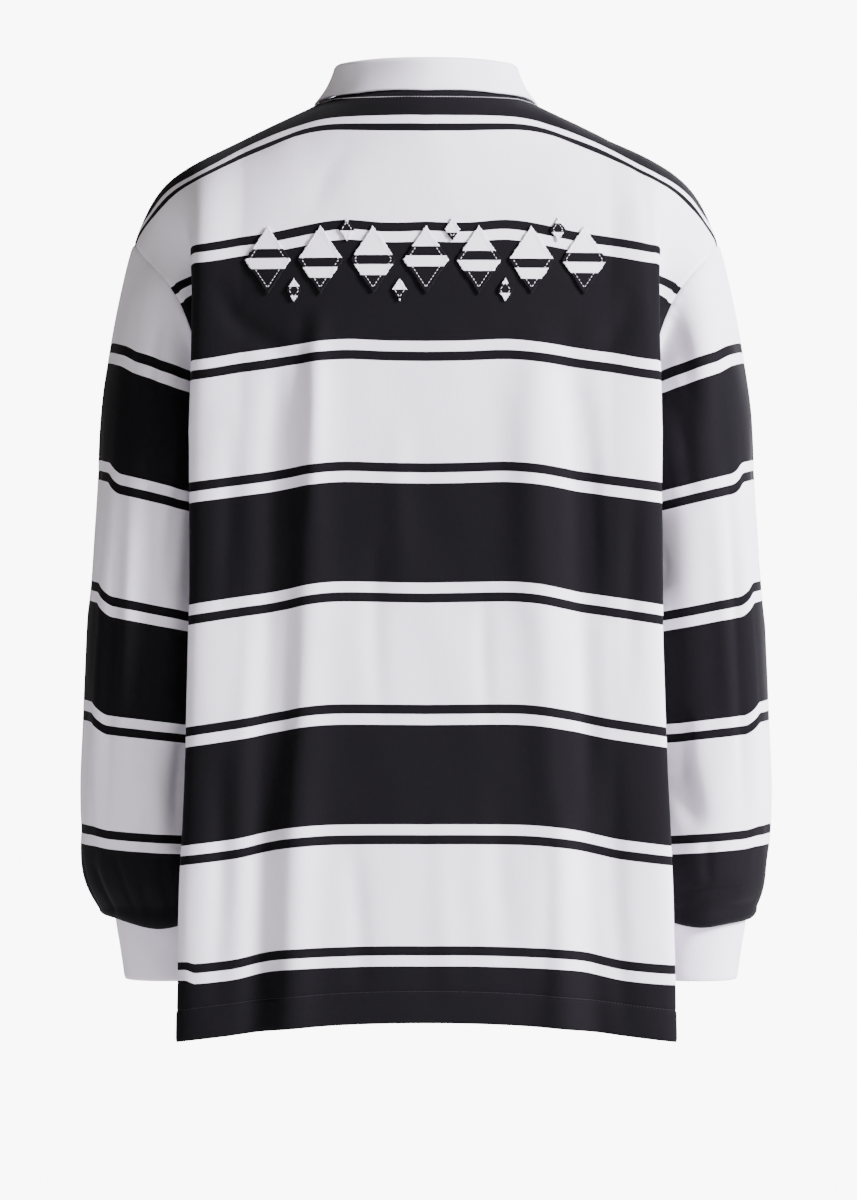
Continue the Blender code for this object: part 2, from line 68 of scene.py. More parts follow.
# ---- cloth ----
JERSEY_THICK = 1.6
RIB_THICK = 2.2
PATCH_THICK = 1.0
CLOTH_THICK = {"jersey": JERSEY_THICK, "rib": RIB_THICK, "applique": PATCH_THICK}
SEAM_GAP = 0.4
LAID_GAP = 0.5

# ---- stripes, down the thread coordinate w ----
STRIPE_START = 54.5
# Widths of the thin white, thin black, white, thin black, thin white and black stripes, over and over.
STRIPE_WIDTHS = (8.45, 7.5, 81.2, 7.5, 8.55, 79.4)
CHEST_W = 304.7           # thread coordinate of the row at CHEST_Z, counted from the shoulder seam
# How much lower than a level pull the stripes hang, by side distance, at six heights down the body.
SHIFT_W = (62, 159, 255, 448, 592, 737)
STRIPE_SHIFT = table(
    "x shoulder blade waist hip seat hem",
    (0, 3.3, 0, 0.5, 0.3, 0.7, 0.2),
    (41, -0.3, 0, -0.8, -0.9, 0, -0.3),
    (62, -4, -2.5, -2.3, -2, -0.8, -0.6),
    (92, -9, -0.5, -1.8, -1.7, -1.4, -1.5),
    (123, -5, 2.8, 0.1, 2.2, 0.9, -1.4),
    (143, 0, 3.5, 0.8, 2.8, 3.1, 1),
    (164, 8, 2.7, 0.5, 3.3, 3.7, 1.1),
    (190, 17, 0.5, -0.9, 3.2, 3.8, -0.5),
)
TIP_SHIFT = 9             # at the shoulder point they hang this much lower still
TIP_SHIFT_END = 130       # down to this thread coordinate, over the length before it
TIP_SHIFT_LENGTH = 60
WALL_SHIFT = 5            # and past the fold at the armhole this much, between two thread coordinates
WALL_SHIFT_START = 80
WALL_SHIFT_GROWTH = 50
WALL_SHIFT_END = 300
WALL_SHIFT_DECLINE = 110
# Shares of the way from the last straight column to the armhole seam.
CREST_SHARE = 0.35
WALL_SHARE = 0.45
WALL_SHARE_LENGTH = 0.2
TIP_SHARE = 0.7
# Threads round the sleeve: height at its back, rise to its outer side, and the step up at the crease.
SLEEVE_THREADS = table(
    "w back_z tilt step",
    (75, -131, 10, 1),
    (159, -226, 16, 2.5),
    (255.5, -323.5, 12, 7.5),
    (351.7, -420.5, 10, 9.5),
    (448, -514.8, 6, 9),
    (544.3, -606.3, 4, 1.5),
    (610, -670, 3, 0),
)
CREASE_ANGLE = 49         # where the sleeve's long crease runs
CREASE_WIDTH = 9
STEP_RETURN_ANGLE = -80   # on the hidden side the step is taken back over this wide place
STEP_RETURN_WIDTH = 30

# ---- shoulder line, from the neck to the shoulder point, the same for front and back ----
SHOULDER_RIDGE = table(
    "x z",
    (0, 28),
    (60, 10),
    (92, -6.5),
    (142, -30.5),
    (183, -51.5),
    (211, -68),
    (227, -94),
    (239, -119),
)
NECK_HALF_WIDTH = 80
FOLD_X_AT_RIDGE = 190
FOLD_PINCH = 2.5          # the folds by the arms stand this much nearer halfway down to the chest

# ---- the two faces of the body above the chest ----
BACK, FRONT = table(
    "name sign low power neck_depth shoulder_shift",
    ("back", 1, -160, 2.0, 52, 1),
    ("front", -1, -240, 1.6, 85, 0.3),
)

# ---- level sections of the body, from the chest to the hem ----
BODY_SECTIONS = table(
    "z back_y back_fold_x back_fold_y front_y front_fold_x front_fold_y "
    "wall_x wall_y side_x",
    (-160, 116, 190, 95, 127, 187, 92, 172, 50, 160),
    (-261, 115, 188, 95, 129, 187, 92, 171, 50, 161),
    (-400, 105, 189, 89, 129, 186, 90, 170, 47, 160),
    (-520, 106, 192, 89, 127, 187, 89, 171, 47, 161),
    (-640, 110, 197, 91, 126, 189, 89, 173, 48, 163),
    (-747, 114, 199, 94, 124, 191, 89, 176, 54, 167),
)
VENT_TOP_Z = -682
VENT_SPREAD = 20
VENT_POWER = 1.5
SECTION_ROUNDNESS = 2.6
SIDE_DROP = 14
DROP_POWER = 2.2
HEM_DIP = 0.2             # by the hem the drop has grown by this share
CHEST_Z = -261
HEM_Z = -747

# ---- thread rows of the body round the armhole, from the shoulder line to the underarm ----
ARM_ROWS = table(
    "fold_z wall_x wall_y wall_z seam_x seam_y seam_z",
    (-52.0, 216, 0, -74, 239, 0, -119),
    (-55.5, 215, 18, -78, 236, 14, -123),
    (-67.0, 211, 37, -91, 231, 27, -130),
    (-92.0, 200, 48, -118, 222, 41, -140),
    (-118.0, 189, 51, -141, 210, 52, -153),
    (-150.0, 184, 60, -166, 197, 56, -174),
    (-180.0, 182, 70, -192, 187, 54, -203),
    (-215.0, 181, 72, -226, 177, 44, -238),
    (-247.0, 177, 62, -253, 168, 25, -260),
    (-275.0, 171, 50, -275, 161, 0, -271),
)
LEAD_COLUMNS = (127, 150)   # the last two straight columns, which give the fold its start

# ---- fineness of the shells ----
CELL = 3.4                # length of a cell of the panels
EDGE_CELLS = (0.7, 1.6, 2.8)   # distances from a seam where the shells have extra columns
HEM_LINE_CELLS = (-2, -1, 0, 1, 2)   # and from the hem's stitch line
HEM_LINE_CLEAR = 2.6
UPPER_CELLS = 88
FOLD_CELLS = 46
SLEEVE_CELLS = 100
CAP_CELLS = 36
SEAM_ROWS = (0, 0.25, 0.5, 0.75)
CUFF_AROUND = 120
CUFF_CELLS = 24
CUFF_EDGE_SHARE = 0.985
STAND_CELLS = 10
CREST_CELLS = 8
LEAF_CELLS = 24
COLLAR_STATIONS = 100
PLACKET_ROWS = 60
PLACKET_COLUMNS = 13
PATCH_CELLS = 32
SMALL_PATCH_CELLS = 16
LINE_POINTS = 90          # along a long line of stitches
SHORT_LINE_POINTS = 9

# ---- largest folds of the body: a ridge or, below nought, a trough ----
BODY_FOLDS = table(
    "face x_top z_top x_hem width depth",
    (1, 86, -170, 108, 17, 4.5),
    (1, 114, -170, 136, 14, -4.5),
    (1, -104, -290, -110, 18, 5),
    (1, -142, -230, -156, 15, -5),
    (-1, 95, -320, 105, 26, 5),
    (-1, -88, -300, -104, 26, 5),
)
FOLD_FADE = 90

# ---- sleeves, the left one; the right one is its mirror ----
RING = "z outer_x half_width centre_y half_depth"
SLEEVE_RINGS = table(
    RING,
    (-303, 268.0, 50, 0, 73),
    (-360, 272.5, 51, -1, 74),
    (-420, 276.5, 52, -3, 73),
    (-480, 280.0, 53, -7, 71),
    (-540, 283.0, 54, -12, 68),
    (-590, 283.5, 54, -17, 65),
    (-625, 280.0, 52, -20, 61),
    (-648, 275.0, 48, -23, 56),
    (-662, 268.5, 43, -25, 50),
)
SLEEVE_FOLDS = table(
    "angle width depth z_top z_end",
    (44, 20, 3.5, -303, -610),
    (84, 18, -3, -303, -560),
    (300, 24, 3, -330, -620),
    (255, 20, -3, -303, -580),
)
CAP_PULL = 0.4
SEAM_FLAT = 2.5
SEAM_PULL = 16
CUFF_TOP_Z = -670
CUFF_END_Z = -722
CUFF_TOP, CUFF_END = table(
    RING,
    (CUFF_TOP_Z, 259.5, 37.5, -26, 38),
    (CUFF_END_Z, 252.0, 35.0, -32, 36),
)
WRIST_SHIFT = -4          # both wrists lie this far to the wearer's right
WRIST_SHIFT_TOP = -622
WRIST_SHIFT_FULL = -672

# ---- creases: troughs, or ridges where depth is above nought; bow is how far the middle bends aside ----
CREASE = "across_1 down_1 across_2 down_2 bow width depth"
# On the body, across is the side distance along the cloth and down the level thread coordinate. On a sleeve
# or cuff, across is in degrees from its outer side over the back, and down is the depth below the neck.
CREASES = {"back": table(
    CREASE,
    (83, 196, 90, 400, 2, 7, 2.0),
    (98, 200, 108, 430, 2, 8, -2.6),
    (108, 400, 122, 640, -3, 9, -3.0),
    (126, 600, 130, 800, 2, 12, -2.0),
    (106, 560, 108, 790, -2, 13, 1.2),
    (146, 470, 152, 700, 3, 10, 1.8),
    (41, 400, 36, 560, 2, 8, -1.6),
    (60, 640, 52, 770, -2, 9, -1.9),
    (22, 300, 16, 470, 2, 10, 1.3),
    (-12, 610, -20, 780, 2, 11, 1.5),
    (-46, 440, -50, 560, 2, 7, -1.6),
    (-72, 280, -80, 470, -3, 14, 2.2),
    (-106, 290, -112, 460, -2, 9, 1.8),
    (-130, 280, -140, 470, -2, 9, -2.8),
    (-58, 590, -66, 760, 3, 11, -1.9),
    (-98, 600, -94, 790, -2, 9, -2.2),
    (-118, 430, -126, 640, 3, 9, 2.0),
    (-150, 560, -162, 795, 3, 10, -3.2),
    (-172, 330, -166, 520, 2, 8, -2.0),
    (168, 560, 172, 780, -2, 9, -2.6),
    (160, 300, 166, 470, -2, 8, -2.0),
    (176, 185, 96, 262, 10, 9, -2.6),
    (-172, 195, -104, 285, -9, 11, -2.2),
    (-164, 112, -120, 200, -6, 10, -1.4),
    (92, 36, 176, 78, -5, 8, -1.0),
    (-96, 40, -170, 84, 5, 9, -1.2),
    (12, 150, -30, 240, 6, 16, -0.9),
    (60, 78, 96, 150, 4, 10, -0.9),
    (-184, 66, -188, 240, 0, 6, -1.2),
), "front": table(
    CREASE,
    (78, 150, 92, 400, 5, 16, -3.5),
    (-70, 180, -88, 430, -4, 15, -3.8),
    (120, 300, 128, 600, 4, 12, 2.9),
    (-124, 330, -130, 640, -5, 13, 3.2),
    (40, 420, 52, 700, 4, 12, -2.6),
    (-36, 460, -44, 780, 3, 14, -2.4),
    (6, 520, 10, 770, -3, 11, 1.9),
    (150, 560, 158, 785, 3, 10, -2.9),
    (-152, 590, -160, 788, -2, 9, -2.6),
    (170, 170, 84, 250, 9, 10, -2.6),
    (-166, 160, -78, 232, -8, 11, -2.4),
    (60, 60, 140, 150, -7, 10, -1.6),
    (-64, 66, -146, 140, 6, 11, -1.8),
), "left": table(
    CREASE,
    (50, 250, 46, 650, 0, 6, 2.1),
    (60, 300, 58, 590, 2, 5, -2.2),
    (72, 330, 76, 560, -2, 8, 1.8),
    (40, 165, 66, 300, 4, 9, -2.4),
    (72, 170, 92, 290, 3, 8, -3.0),
    (112, 205, 92, 330, -5, 9, -3.3),
    (128, 255, 108, 400, -4, 9, -3.9),
    (130, 290, 126, 500, 0, 12, -4.0),
    (131, 500, 119, 616, 3, 15, -9.5),
    (100, 520, 90, 612, 3, 9, 1.6),
    (96, 560, 88, 640, 2, 7, -2.7),
    (0, 600, 0, 706, 0, 30, 4.5),
    (30, 470, 22, 600, 2, 9, -2.1),
    (14, 240, 8, 420, 2, 11, -2.4),
    (62, 612, 70, 668, 0, 4, -2.0),
    (86, 618, 83, 668, 0, 5, -2.2),
    (104, 606, 108, 668, 0, 4, -1.8),
    (36, 622, 40, 668, 0, 5, -2.1),
    (16, 615, 13, 668, 0, 4, -1.8),
    (-20, 610, -24, 668, 0, 5, -2.0),
    (-52, 600, -48, 668, 0, 6, -2.2),
    (-84, 616, -82, 668, 0, 4, -1.8),
    (-120, 604, -124, 668, 0, 5, -2.1),
    (150, 610, 154, 668, 0, 5, -2.0),
    (-60, 250, -82, 420, -4, 11, -3.3),
    (-96, 380, -70, 470, 4, 10, -3.9),
    (-110, 440, -84, 520, 3, 9, -3.3),
    (-40, 480, -52, 600, 2, 10, -2.4),
), "right": table(
    CREASE,
    (52, 235, 47, 640, 0, 6, 1.8),
    (61, 290, 60, 600, 2, 5, -2.0),
    (76, 310, 72, 540, -2, 9, 1.4),
    (44, 170, 68, 310, 4, 10, -1.8),
    (80, 180, 98, 300, 3, 9, -1.7),
    (118, 215, 96, 340, -5, 9, -2.8),
    (130, 362, 123, 400, 0, 8, -3.6),
    (124, 518, 98, 600, 4, 13, -6.8),
    (112, 500, 120, 560, -2, 8, -4.2),
    (54, 645, 122, 649, 1, 3.6, -3.4),
    (28, 658, 88, 661, -1, 3, -2.8),
    (28, 500, 20, 620, 2, 9, -1.7),
    (12, 260, 6, 430, 2, 10, -2.0),
    (92, 600, 88, 645, 0, 6, -1.8),
    (10, 612, 12, 668, 0, 5, -1.8),
    (-26, 616, -22, 668, 0, 4, -1.7),
    (-58, 606, -60, 668, 0, 5, -2.1),
    (-94, 600, -90, 668, 0, 6, -1.8),
    (-130, 612, -128, 668, 0, 4, -1.7),
    (156, 606, 150, 668, 0, 5, -2.0),
    (-56, 270, -78, 440, -4, 12, -2.8),
    (-100, 400, -72, 480, 4, 9, -3.4),
    (-46, 500, -56, 610, 2, 10, -2.1),
), "cuff": table(
    CREASE,
    (52, 676, 104, 716, 4, 10, -1.1),
    (120, 680, 138, 720, 0, 9, -1.2),
    (-30, 678, -62, 718, 3, 11, -1.1),
    (-110, 684, -128, 722, 2, 9, -1.0),
    (10, 686, 20, 722, 2, 8, -0.8),
)}
SLEEVE_ARC = 1.08         # millimetres of cloth for each degree round a sleeve
CUFF_ARC = 0.65
CREASE_END_POWER = 0.8    # makes a crease's ends a little blunt
SEAM_CALM = 16            # creases fade over this distance from a seam
VENT_CALM = 0.6           # and by this share less beside a vent
NECK_CALM = 12
SEAM_ROLL = 0.9           # the cloth's edges turn in by this much at a seam
SEAM_ROLL_WIDTH = 1.8
UNEVEN = 0.55             # height of the low, wide waves, and their lengths in millimetres for a radian
UNEVEN_SPANS = (17, 71, 49, 41)
UNEVEN_BENDS = (1.9, 1.4)
UNEVEN_FINE = 0.14
UNEVEN_FINE_SPANS = (8.3, 37, 13, 29)
PUCKER = 0.22             # small gathers along seams
PUCKER_PITCH = 8.3
PUCKER_DRIFT = 1.7
PUCKER_DRIFT_SPAN = 23
PUCKER_REACH = 4

# ---- sleeve end: how far it hangs down over the cuff, by turn ----
SLEEVE_HANG = table(
    "turn left right",
    (-180, 1, 1),
    (-120, 3, 2.5),
    (-60, 1.5, 2.5),
    (0, 0.5, 1.2),
    (35, 1.5, 3),
    (62, 5.5, 5),
    (90, 8.5, 7.5),
    (115, 5.5, 5.5),
    (140, 0.5, 2),
    (180, 1, 1),
)
HANG_OUT = 3.6            # how far the lowest edge stands off the cuff
HANG_IN = 2.3             # and the cloth behind it, on its way up to the seam
HANG_LEAST = 0.8
HANG_BENDS = (18, 36, 54, 72, 90)
LIP_OUT = 0.3             # the lowest edge is rounded over these small steps out and up
LIP_RISES = (0.5, 1.4)
CUFF_CALM = 14
CUFF_ROLL = 0.6
CUFF_ROLL_WIDTH = 1

# ---- hem and vents ----
HEM_TURN = 25             # depth of the turned-up hem
VENT_TURN = 10            # width of the turned-in edge of a vent
TURN_THICK = 0.5
TURN_EDGE = 2.5           # the step at a turned edge is this wide
VENT_GROWTH = 8
HEM_PUCKER_OFF = 3
HEM_GROOVE = 0.55         # where the hem's stitches pull the cloth in
HEM_GROOVE_WIDTH = 0.9
HEM_ROLL = 0.7
HEM_ROLL_WIDTH = 1.1
VENT_KINK = 3.4           # beside the left vent the stripes turn up by this much, past these places
VENT_KINK_X = 184
VENT_KINK_X_GROWTH = 9
VENT_KINK_W = 715
VENT_KINK_W_GROWTH = 20

# ---- collar: where its fold and outer edge run, by side distance and turn round the neck ----
COLLAR = table(
    "place fold_x fold_y fold_z edge_x edge_turn",
    (0, 0, 54, 25.5, 0, 32.2),
    (2, 37, 44, 25.5, 43, 26.3),
    (4, 63, 23, 24.5, 74, 13.6),
    (5, 69, 2, 22.0, 88, 0),
    (7, 53, -50, -16.0, 85, -30),
    (9, 25, -78, -45.0, 72, -46),
    (11, 4, -88, -58.0, 48, -58),
)
NECK_BACK = (0, 20, 40, 58, 71, 80)
NECK_FRONT = (71, 58, 43, 29, 15, 4)
COLLAR_LIFT = 1.6
FOLD_RADIUS = 3.0
FOLD_RISE = 2.4
LEAF_CLEARANCE = 2.7
LEAF_BULGE = 1.2

# ---- placket and buttons ----
PLACKET_HALF = 15
PLACKET_OVERLAP = 2
PLACKET_END_STEP = 7.5    # thread rows from the neck down to its foot
PLACKET_END_GAP = 0.01
PLACKET_END_OVERLAP = 0.1
BUTTON_THICK = 2.4
BUTTON_COUNT = 3

# ---- applique lozenges across the upper back ----
LOZENGE_COUNT = 7
LOZENGE_PITCH = 42
LOZENGE_Z = -139
LOZENGE_SIZE = (18, 27)
SMALL_LOZENGE_SIZE = (6, 9)
SMALL_LOZENGE_RISE = 24
# On each patch a wide white stripe ends a little above the middle.
LOZENGE_BLACK_W = STRIPE_START + sum(STRIPE_WIDTHS[:3])
LOZENGE_BLACK_RISE = 0.22   # in half heights
LOZENGE_CUT_SHIFT = 5     # the patches are cut from the cloth a little unlike each other
LOZENGE_CUT_STEP = 2.3
RIM_WIDTH = 1             # along their cut edges the patches are uneven and curl up, by these heights
RAGGED = 0.7
RAGGED_WAVES = (9, 13, 23, 17)
EDGE_CURL = 0.45
CURL_UNEVEN = 0.4
CURL_WAVES = (5, 7)
PATCHED_W = 183           # round the patches the cloth is stiffer and has no creases
PATCHED_HALF_WIDTH = 162
PATCHED_HALF_DEPTH = 46
LOZENGE_INSET = 2.8       # from a large patch's edge to its stitches
SMALL_LOZENGE_INSET = 1.7

# ---- sewing thread ----
THREAD_RADIUS = 0.24
STITCH_PITCH = 2.9
TOPSTITCH_PITCH = 2.6
STITCH_HALF_SHARE = 0.31  # half of a stitch's length, as a share of the pitch
STITCH_RINGS = table(
    "along thick height",
    (0, 0.35, -0.6),
    (0.2, 0.95, 0.4),
    (0.8, 0.95, 0.4),
    (1, 0.35, -0.6),
)
STITCH_SIDES = 6
NECK_STITCHES = table(
    "x z",
    (0, -4.7),
    (40, -4.3),
    (75, -3.4),
    (86, -5.4),
    (91, -7.2),
)
NECK_STITCH_LIFT = 0.25
PLACKET_STITCH_INSET = 2.4
PLACKET_STITCH_START = 0.25   # in thread rows, from the neck
PLACKET_STITCH_STOP = 0.12    # and before the foot
BUTTONHOLE_HALF = 8
BUTTONHOLE_PITCH = 0.8
BUTTONHOLE_BARS = (0.15, 1.5)   # each stitch runs between these distances from the slit
BUTTON_HOLE_OFF = 1.2     # the button's four holes lie this far from its axis, each way


# ======== the garment's form ========

def spline(knots, values, at):
    """Natural cubic through values at the knots, read at each place in at."""
    knots = np.asarray(knots, float)
    values = np.asarray(values, float)
    flat = values.reshape(len(knots), -1)
    step = np.diff(knots)
    matrix = np.eye(len(knots))
    right = np.zeros_like(flat)
    for i in range(1, len(knots) - 1):
        matrix[i, i - 1:i + 2] = step[i - 1], 2 * (step[i - 1] + step[i]), step[i]
        right[i] = 6 * ((flat[i + 1] - flat[i]) / step[i] - (flat[i] - flat[i - 1]) / step[i - 1])
    bend = np.linalg.solve(matrix, right)
    at = np.asarray(at, float)
    i = np.clip(np.searchsorted(knots, at.ravel()) - 1, 0, len(knots) - 2)
    a = ((knots[i + 1] - at.ravel()) / step[i])[:, None]
    b = 1 - a
    curve = (a ** 3 - a) * bend[i] + (b ** 3 - b) * bend[i + 1]
    out = a * flat[i] + b * flat[i + 1] + curve * step[i][:, None] ** 2 / 6
    return out.reshape(at.shape + values.shape[1:])


def column(rows, name):
    return [getattr(row, name) for row in rows]


def section_value(name, z):
    """A value of the body's level sections at height z."""
    rising = BODY_SECTIONS[::-1]
    z = np.clip(z, rising[0].z, rising[-1].z)
    return spline(column(rising, "z"), column(rising, name), z)


def ridge_z(x):
    across, heights = column(SHOULDER_RIDGE, "x"), column(SHOULDER_RIDGE, "z")
    return spline([-place for place in across[:0:-1]] + across, heights[:0:-1] + heights, x)


def full_depth(face, x, z):
    """How far the face stands from the middle plane where it hangs upright."""
    middle = section_value(face.name + "_y", z)
    fold = section_value(face.name + "_fold_y", z)
    share = np.abs(x) / section_value(face.name + "_fold_x", z)
    return middle + (fold - middle) * share ** SECTION_ROUNDNESS


def fold_relief(face, x, z):
    """Height of the soft upright folds, which start below the shoulder blades."""
    relief = np.zeros(np.broadcast(x, z).shape)
    for fold in BODY_FOLDS:
        if fold.face != face.sign:
            continue
        down = np.clip((fold.z_top - z) / (fold.z_top - HEM_Z), 0, 1)
        fade = np.clip((fold.z_top - z) / FOLD_FADE, 0, 1)
        middle = fold.x_top + (fold.x_hem - fold.x_top) * down
        relief = relief + fold.depth * smooth(fade) * bell(x - middle, fold.width)
    return relief


def smooth(t):
    """Soft step from 0 to 1."""
    t = np.clip(t, 0, 1)
    return t * t * (3 - 2 * t)


def bell(off, width):
    """Soft bump of height 1, by distance from its middle."""
    return np.exp(-(off / width) ** 2)


def half_turn(degrees):
    """The same turn, between -180 and 180 degrees."""
    return (degrees + 180) % 360 - 180


def face_y(face, x, z):
    """Depth of a face: upright below face.low, then a superellipse over to the shoulder line."""
    depth = full_depth(face, x, np.minimum(z, face.low)) + fold_relief(face, x, z)
    rise = np.clip((z - face.low) / (ridge_z(x) - face.low), 0, 1)
    return face.sign * depth * (1 - rise ** face.power) ** (1 / face.power)


def turn_point(face, x, turn):
    """Point of a face above the chest, by side distance and degrees of turn from the shoulder line."""
    rise = np.cos(np.radians(np.abs(turn))) ** (2 / face.power)
    z = face.low + (ridge_z(x) - face.low) * rise
    return np.stack([x, face_y(face, x, z), z], axis=-1)


def top_z(face, x):
    """Height of a face's top edge: the neck seam between the shoulder lines, else the shoulder line."""
    inside = np.clip(1 - (x / NECK_HALF_WIDTH) ** 2, 0, 1)
    y = face.neck_depth * np.sqrt(inside)
    share = y / full_depth(face, x, face.low + 0 * x)
    rise = (1 - share ** face.power) ** (1 / face.power)
    return face.low + (ridge_z(x) - face.low) * rise


def row_fall(step):
    """How far down from the top edge to the chest row a thread row lies, from 0 to 1."""
    fold_z = np.array(column(ARM_ROWS, "fold_z"))
    fall = (fold_z - fold_z[0]) / (fold_z[-1] - fold_z[0])
    return spline(range(len(ARM_ROWS)), fall, step)


def fold_x_at(face, step):
    chest = section_value(face.name + "_fold_x", CHEST_Z)
    down = np.clip(step / (len(ARM_ROWS) - 1), 0, 1)
    return FOLD_X_AT_RIDGE + (chest - FOLD_X_AT_RIDGE) * down - FOLD_PINCH * np.sin(math.pi * down)


def drop(x):
    return SIDE_DROP * np.minimum(np.abs(x) / FOLD_X_AT_RIDGE, 1) ** DROP_POWER


def upper_point(face, x_top, step):
    """Point of the part of a face above the chest, by its column at the top edge and its thread row."""
    x = x_top * fold_x_at(face, step) / FOLD_X_AT_RIDGE
    high = top_z(face, x_top + 0 * step)
    z = high + (CHEST_Z - drop(x) - high) * row_fall(step)
    return np.stack([x + 0 * z, face_y(face, x, z), z], axis=-1)


def dip(z_middle):
    """Growth of the side drop from 1 at the chest towards the hem."""
    return 1 + HEM_DIP * (CHEST_Z - z_middle) / (CHEST_Z - HEM_Z)


def lower_point(face, x_top, z_middle):
    """Point of the part of a face below the chest, by column and by its row's height in the middle."""
    x = x_top * section_value(face.name + "_fold_x", z_middle) / FOLD_X_AT_RIDGE
    z = z_middle - drop(x) * dip(z_middle)
    return np.stack([x + 0 * z, face_y(face, x, z), z + 0 * x], axis=-1)


def arm_points(face, step):
    """Points of a thread row past the fold: the middle of the wall, and the armhole seam."""
    values = np.array([row[1:] for row in ARM_ROWS], float)
    across = values[2:0:-1] * (1, -1, 1, 1, -1, 1)
    found = spline(range(-2, len(ARM_ROWS)), np.concatenate([across, values]), step)
    mirror = (1, face.sign, 1)
    return found[..., 0:3] * mirror, found[..., 3:6] * mirror


def unit(vectors):
    return vectors / np.linalg.norm(vectors, axis=-1, keepdims=True)


def run_length(points, axis=0):
    """Length along a grid of points from its first row or column."""
    steps = np.linalg.norm(np.diff(points, axis=axis), axis=-1)
    total = np.cumsum(steps, axis=axis)
    return np.concatenate([np.zeros_like(total.take([0], axis=axis)), total], axis=axis)


def cross_row(lead, fold, wall, seam):
    """Points past the last straight column, round the fold to the seam."""
    keys = np.vstack([lead, fold, wall, seam])
    length = run_length(keys)
    at = np.linspace(length[1], length[-1], FOLD_CELLS + 1)[1:-1]
    edges = length[-1] - np.array((*EDGE_CELLS[::-1], 0))
    at = np.concatenate([at[at < edges[0] - 1], edges])
    count = FOLD_CELLS + len(EDGE_CELLS) - 1
    at = np.interp(np.linspace(0, 1, count), np.linspace(0, 1, len(at)), at)
    at[-len(edges):] = edges
    return spline(length, keys, at)


def seam_out(rows):
    """Way out of the armhole seam at each row: square to the seam, in line with the panel."""
    seam, before = rows[:, -1], rows[:, -2]
    along = unit(np.gradient(seam, axis=0))
    along[0] = 0, 1, 0
    out = seam - before
    out = out - along * np.sum(out * along, axis=1, keepdims=True)
    out[-1] = 0, 0, 1
    return unit(out)


def outward(face, point):
    """Unit vector out of a face at each point of it."""
    x, z = point[..., 0], point[..., 2]
    reach = 0.5
    slope_x = (face_y(face, x + reach, z) - face_y(face, x - reach, z)) / (2 * reach)
    slope_z = (face_y(face, x, z + reach) - face_y(face, x, z - reach)) / (2 * reach)
    return unit(np.stack([-slope_x, np.ones_like(slope_x), -slope_z], axis=-1) * face.sign)


STRAIGHT_COLUMNS = np.linspace(0, LEAD_COLUMNS[1], round(LEAD_COLUMNS[1] / CELL) + 1)
UPPER_STEPS = np.linspace(0, len(ARM_ROWS) - 1, UPPER_CELLS + 1)
HEM_LINE_Z = HEM_Z + HEM_TURN
EVEN_HEIGHTS = np.linspace(CHEST_Z, HEM_Z, round((CHEST_Z - HEM_Z) / CELL) + 1)[1:]
EVEN_HEIGHTS = EVEN_HEIGHTS[np.abs(EVEN_HEIGHTS - HEM_LINE_Z) > HEM_LINE_CLEAR]
HEM_HEIGHTS = [HEM_LINE_Z + off for off in HEM_LINE_CELLS] + [HEM_Z + off for off in EDGE_CELLS[:2]]
LOWER_HEIGHTS = np.sort(np.concatenate([EVEN_HEIGHTS, HEM_HEIGHTS]))[::-1]
HEM_LINE_ROW = np.searchsorted(-LOWER_HEIGHTS, -HEM_LINE_Z) - len(LOWER_HEIGHTS)
HEM_W = CHEST_W + CHEST_Z - HEM_Z
HEM_LINE_W = HEM_W - HEM_TURN
VENT_TOP_W = CHEST_W + CHEST_Z - VENT_TOP_Z


def half_row(point_at, *past_fold):
    """Row of the +X half of a face: the straight columns, then round the fold to the seam."""
    straight, lead, fold = (point_at(np.array(x, float))
                            for x in (STRAIGHT_COLUMNS, LEAD_COLUMNS, [FOLD_X_AT_RIDGE]))
    return np.vstack([straight, cross_row(lead, fold, *past_fold)])


def upper_rows(face):
    """Rows of the +X half of a face from the shoulder line to the underarm."""
    return np.array([half_row(lambda x: upper_point(face, x, step), *arm_points(face, step))
                     for step in UPPER_STEPS])


def lower_rows(face):
    """Rows of the +X half of a face from below the underarm to the hem, where the vent opens."""
    rows = []
    for z in LOWER_HEIGHTS:
        low = z - SIDE_DROP * dip(z)
        wall = (section_value("wall_x", z), face.sign * section_value("wall_y", z), low)
        open_share = np.clip((VENT_TOP_Z - z) / (VENT_TOP_Z - HEM_Z), 0, 1)
        edge_y = face.sign * (VENT_SPREAD * open_share ** VENT_POWER + SEAM_GAP / 2)
        side = (section_value("side_x", z), edge_y, low)
        rows.append(half_row(lambda x: lower_point(face, x, z), wall, side))
    return np.array(rows)


def mirrored(half, signs=(-1, 1, 1)):
    """Whole width from a +X half whose first column is the middle."""
    return np.concatenate([half[:, :0:-1] * signs, half], axis=1)


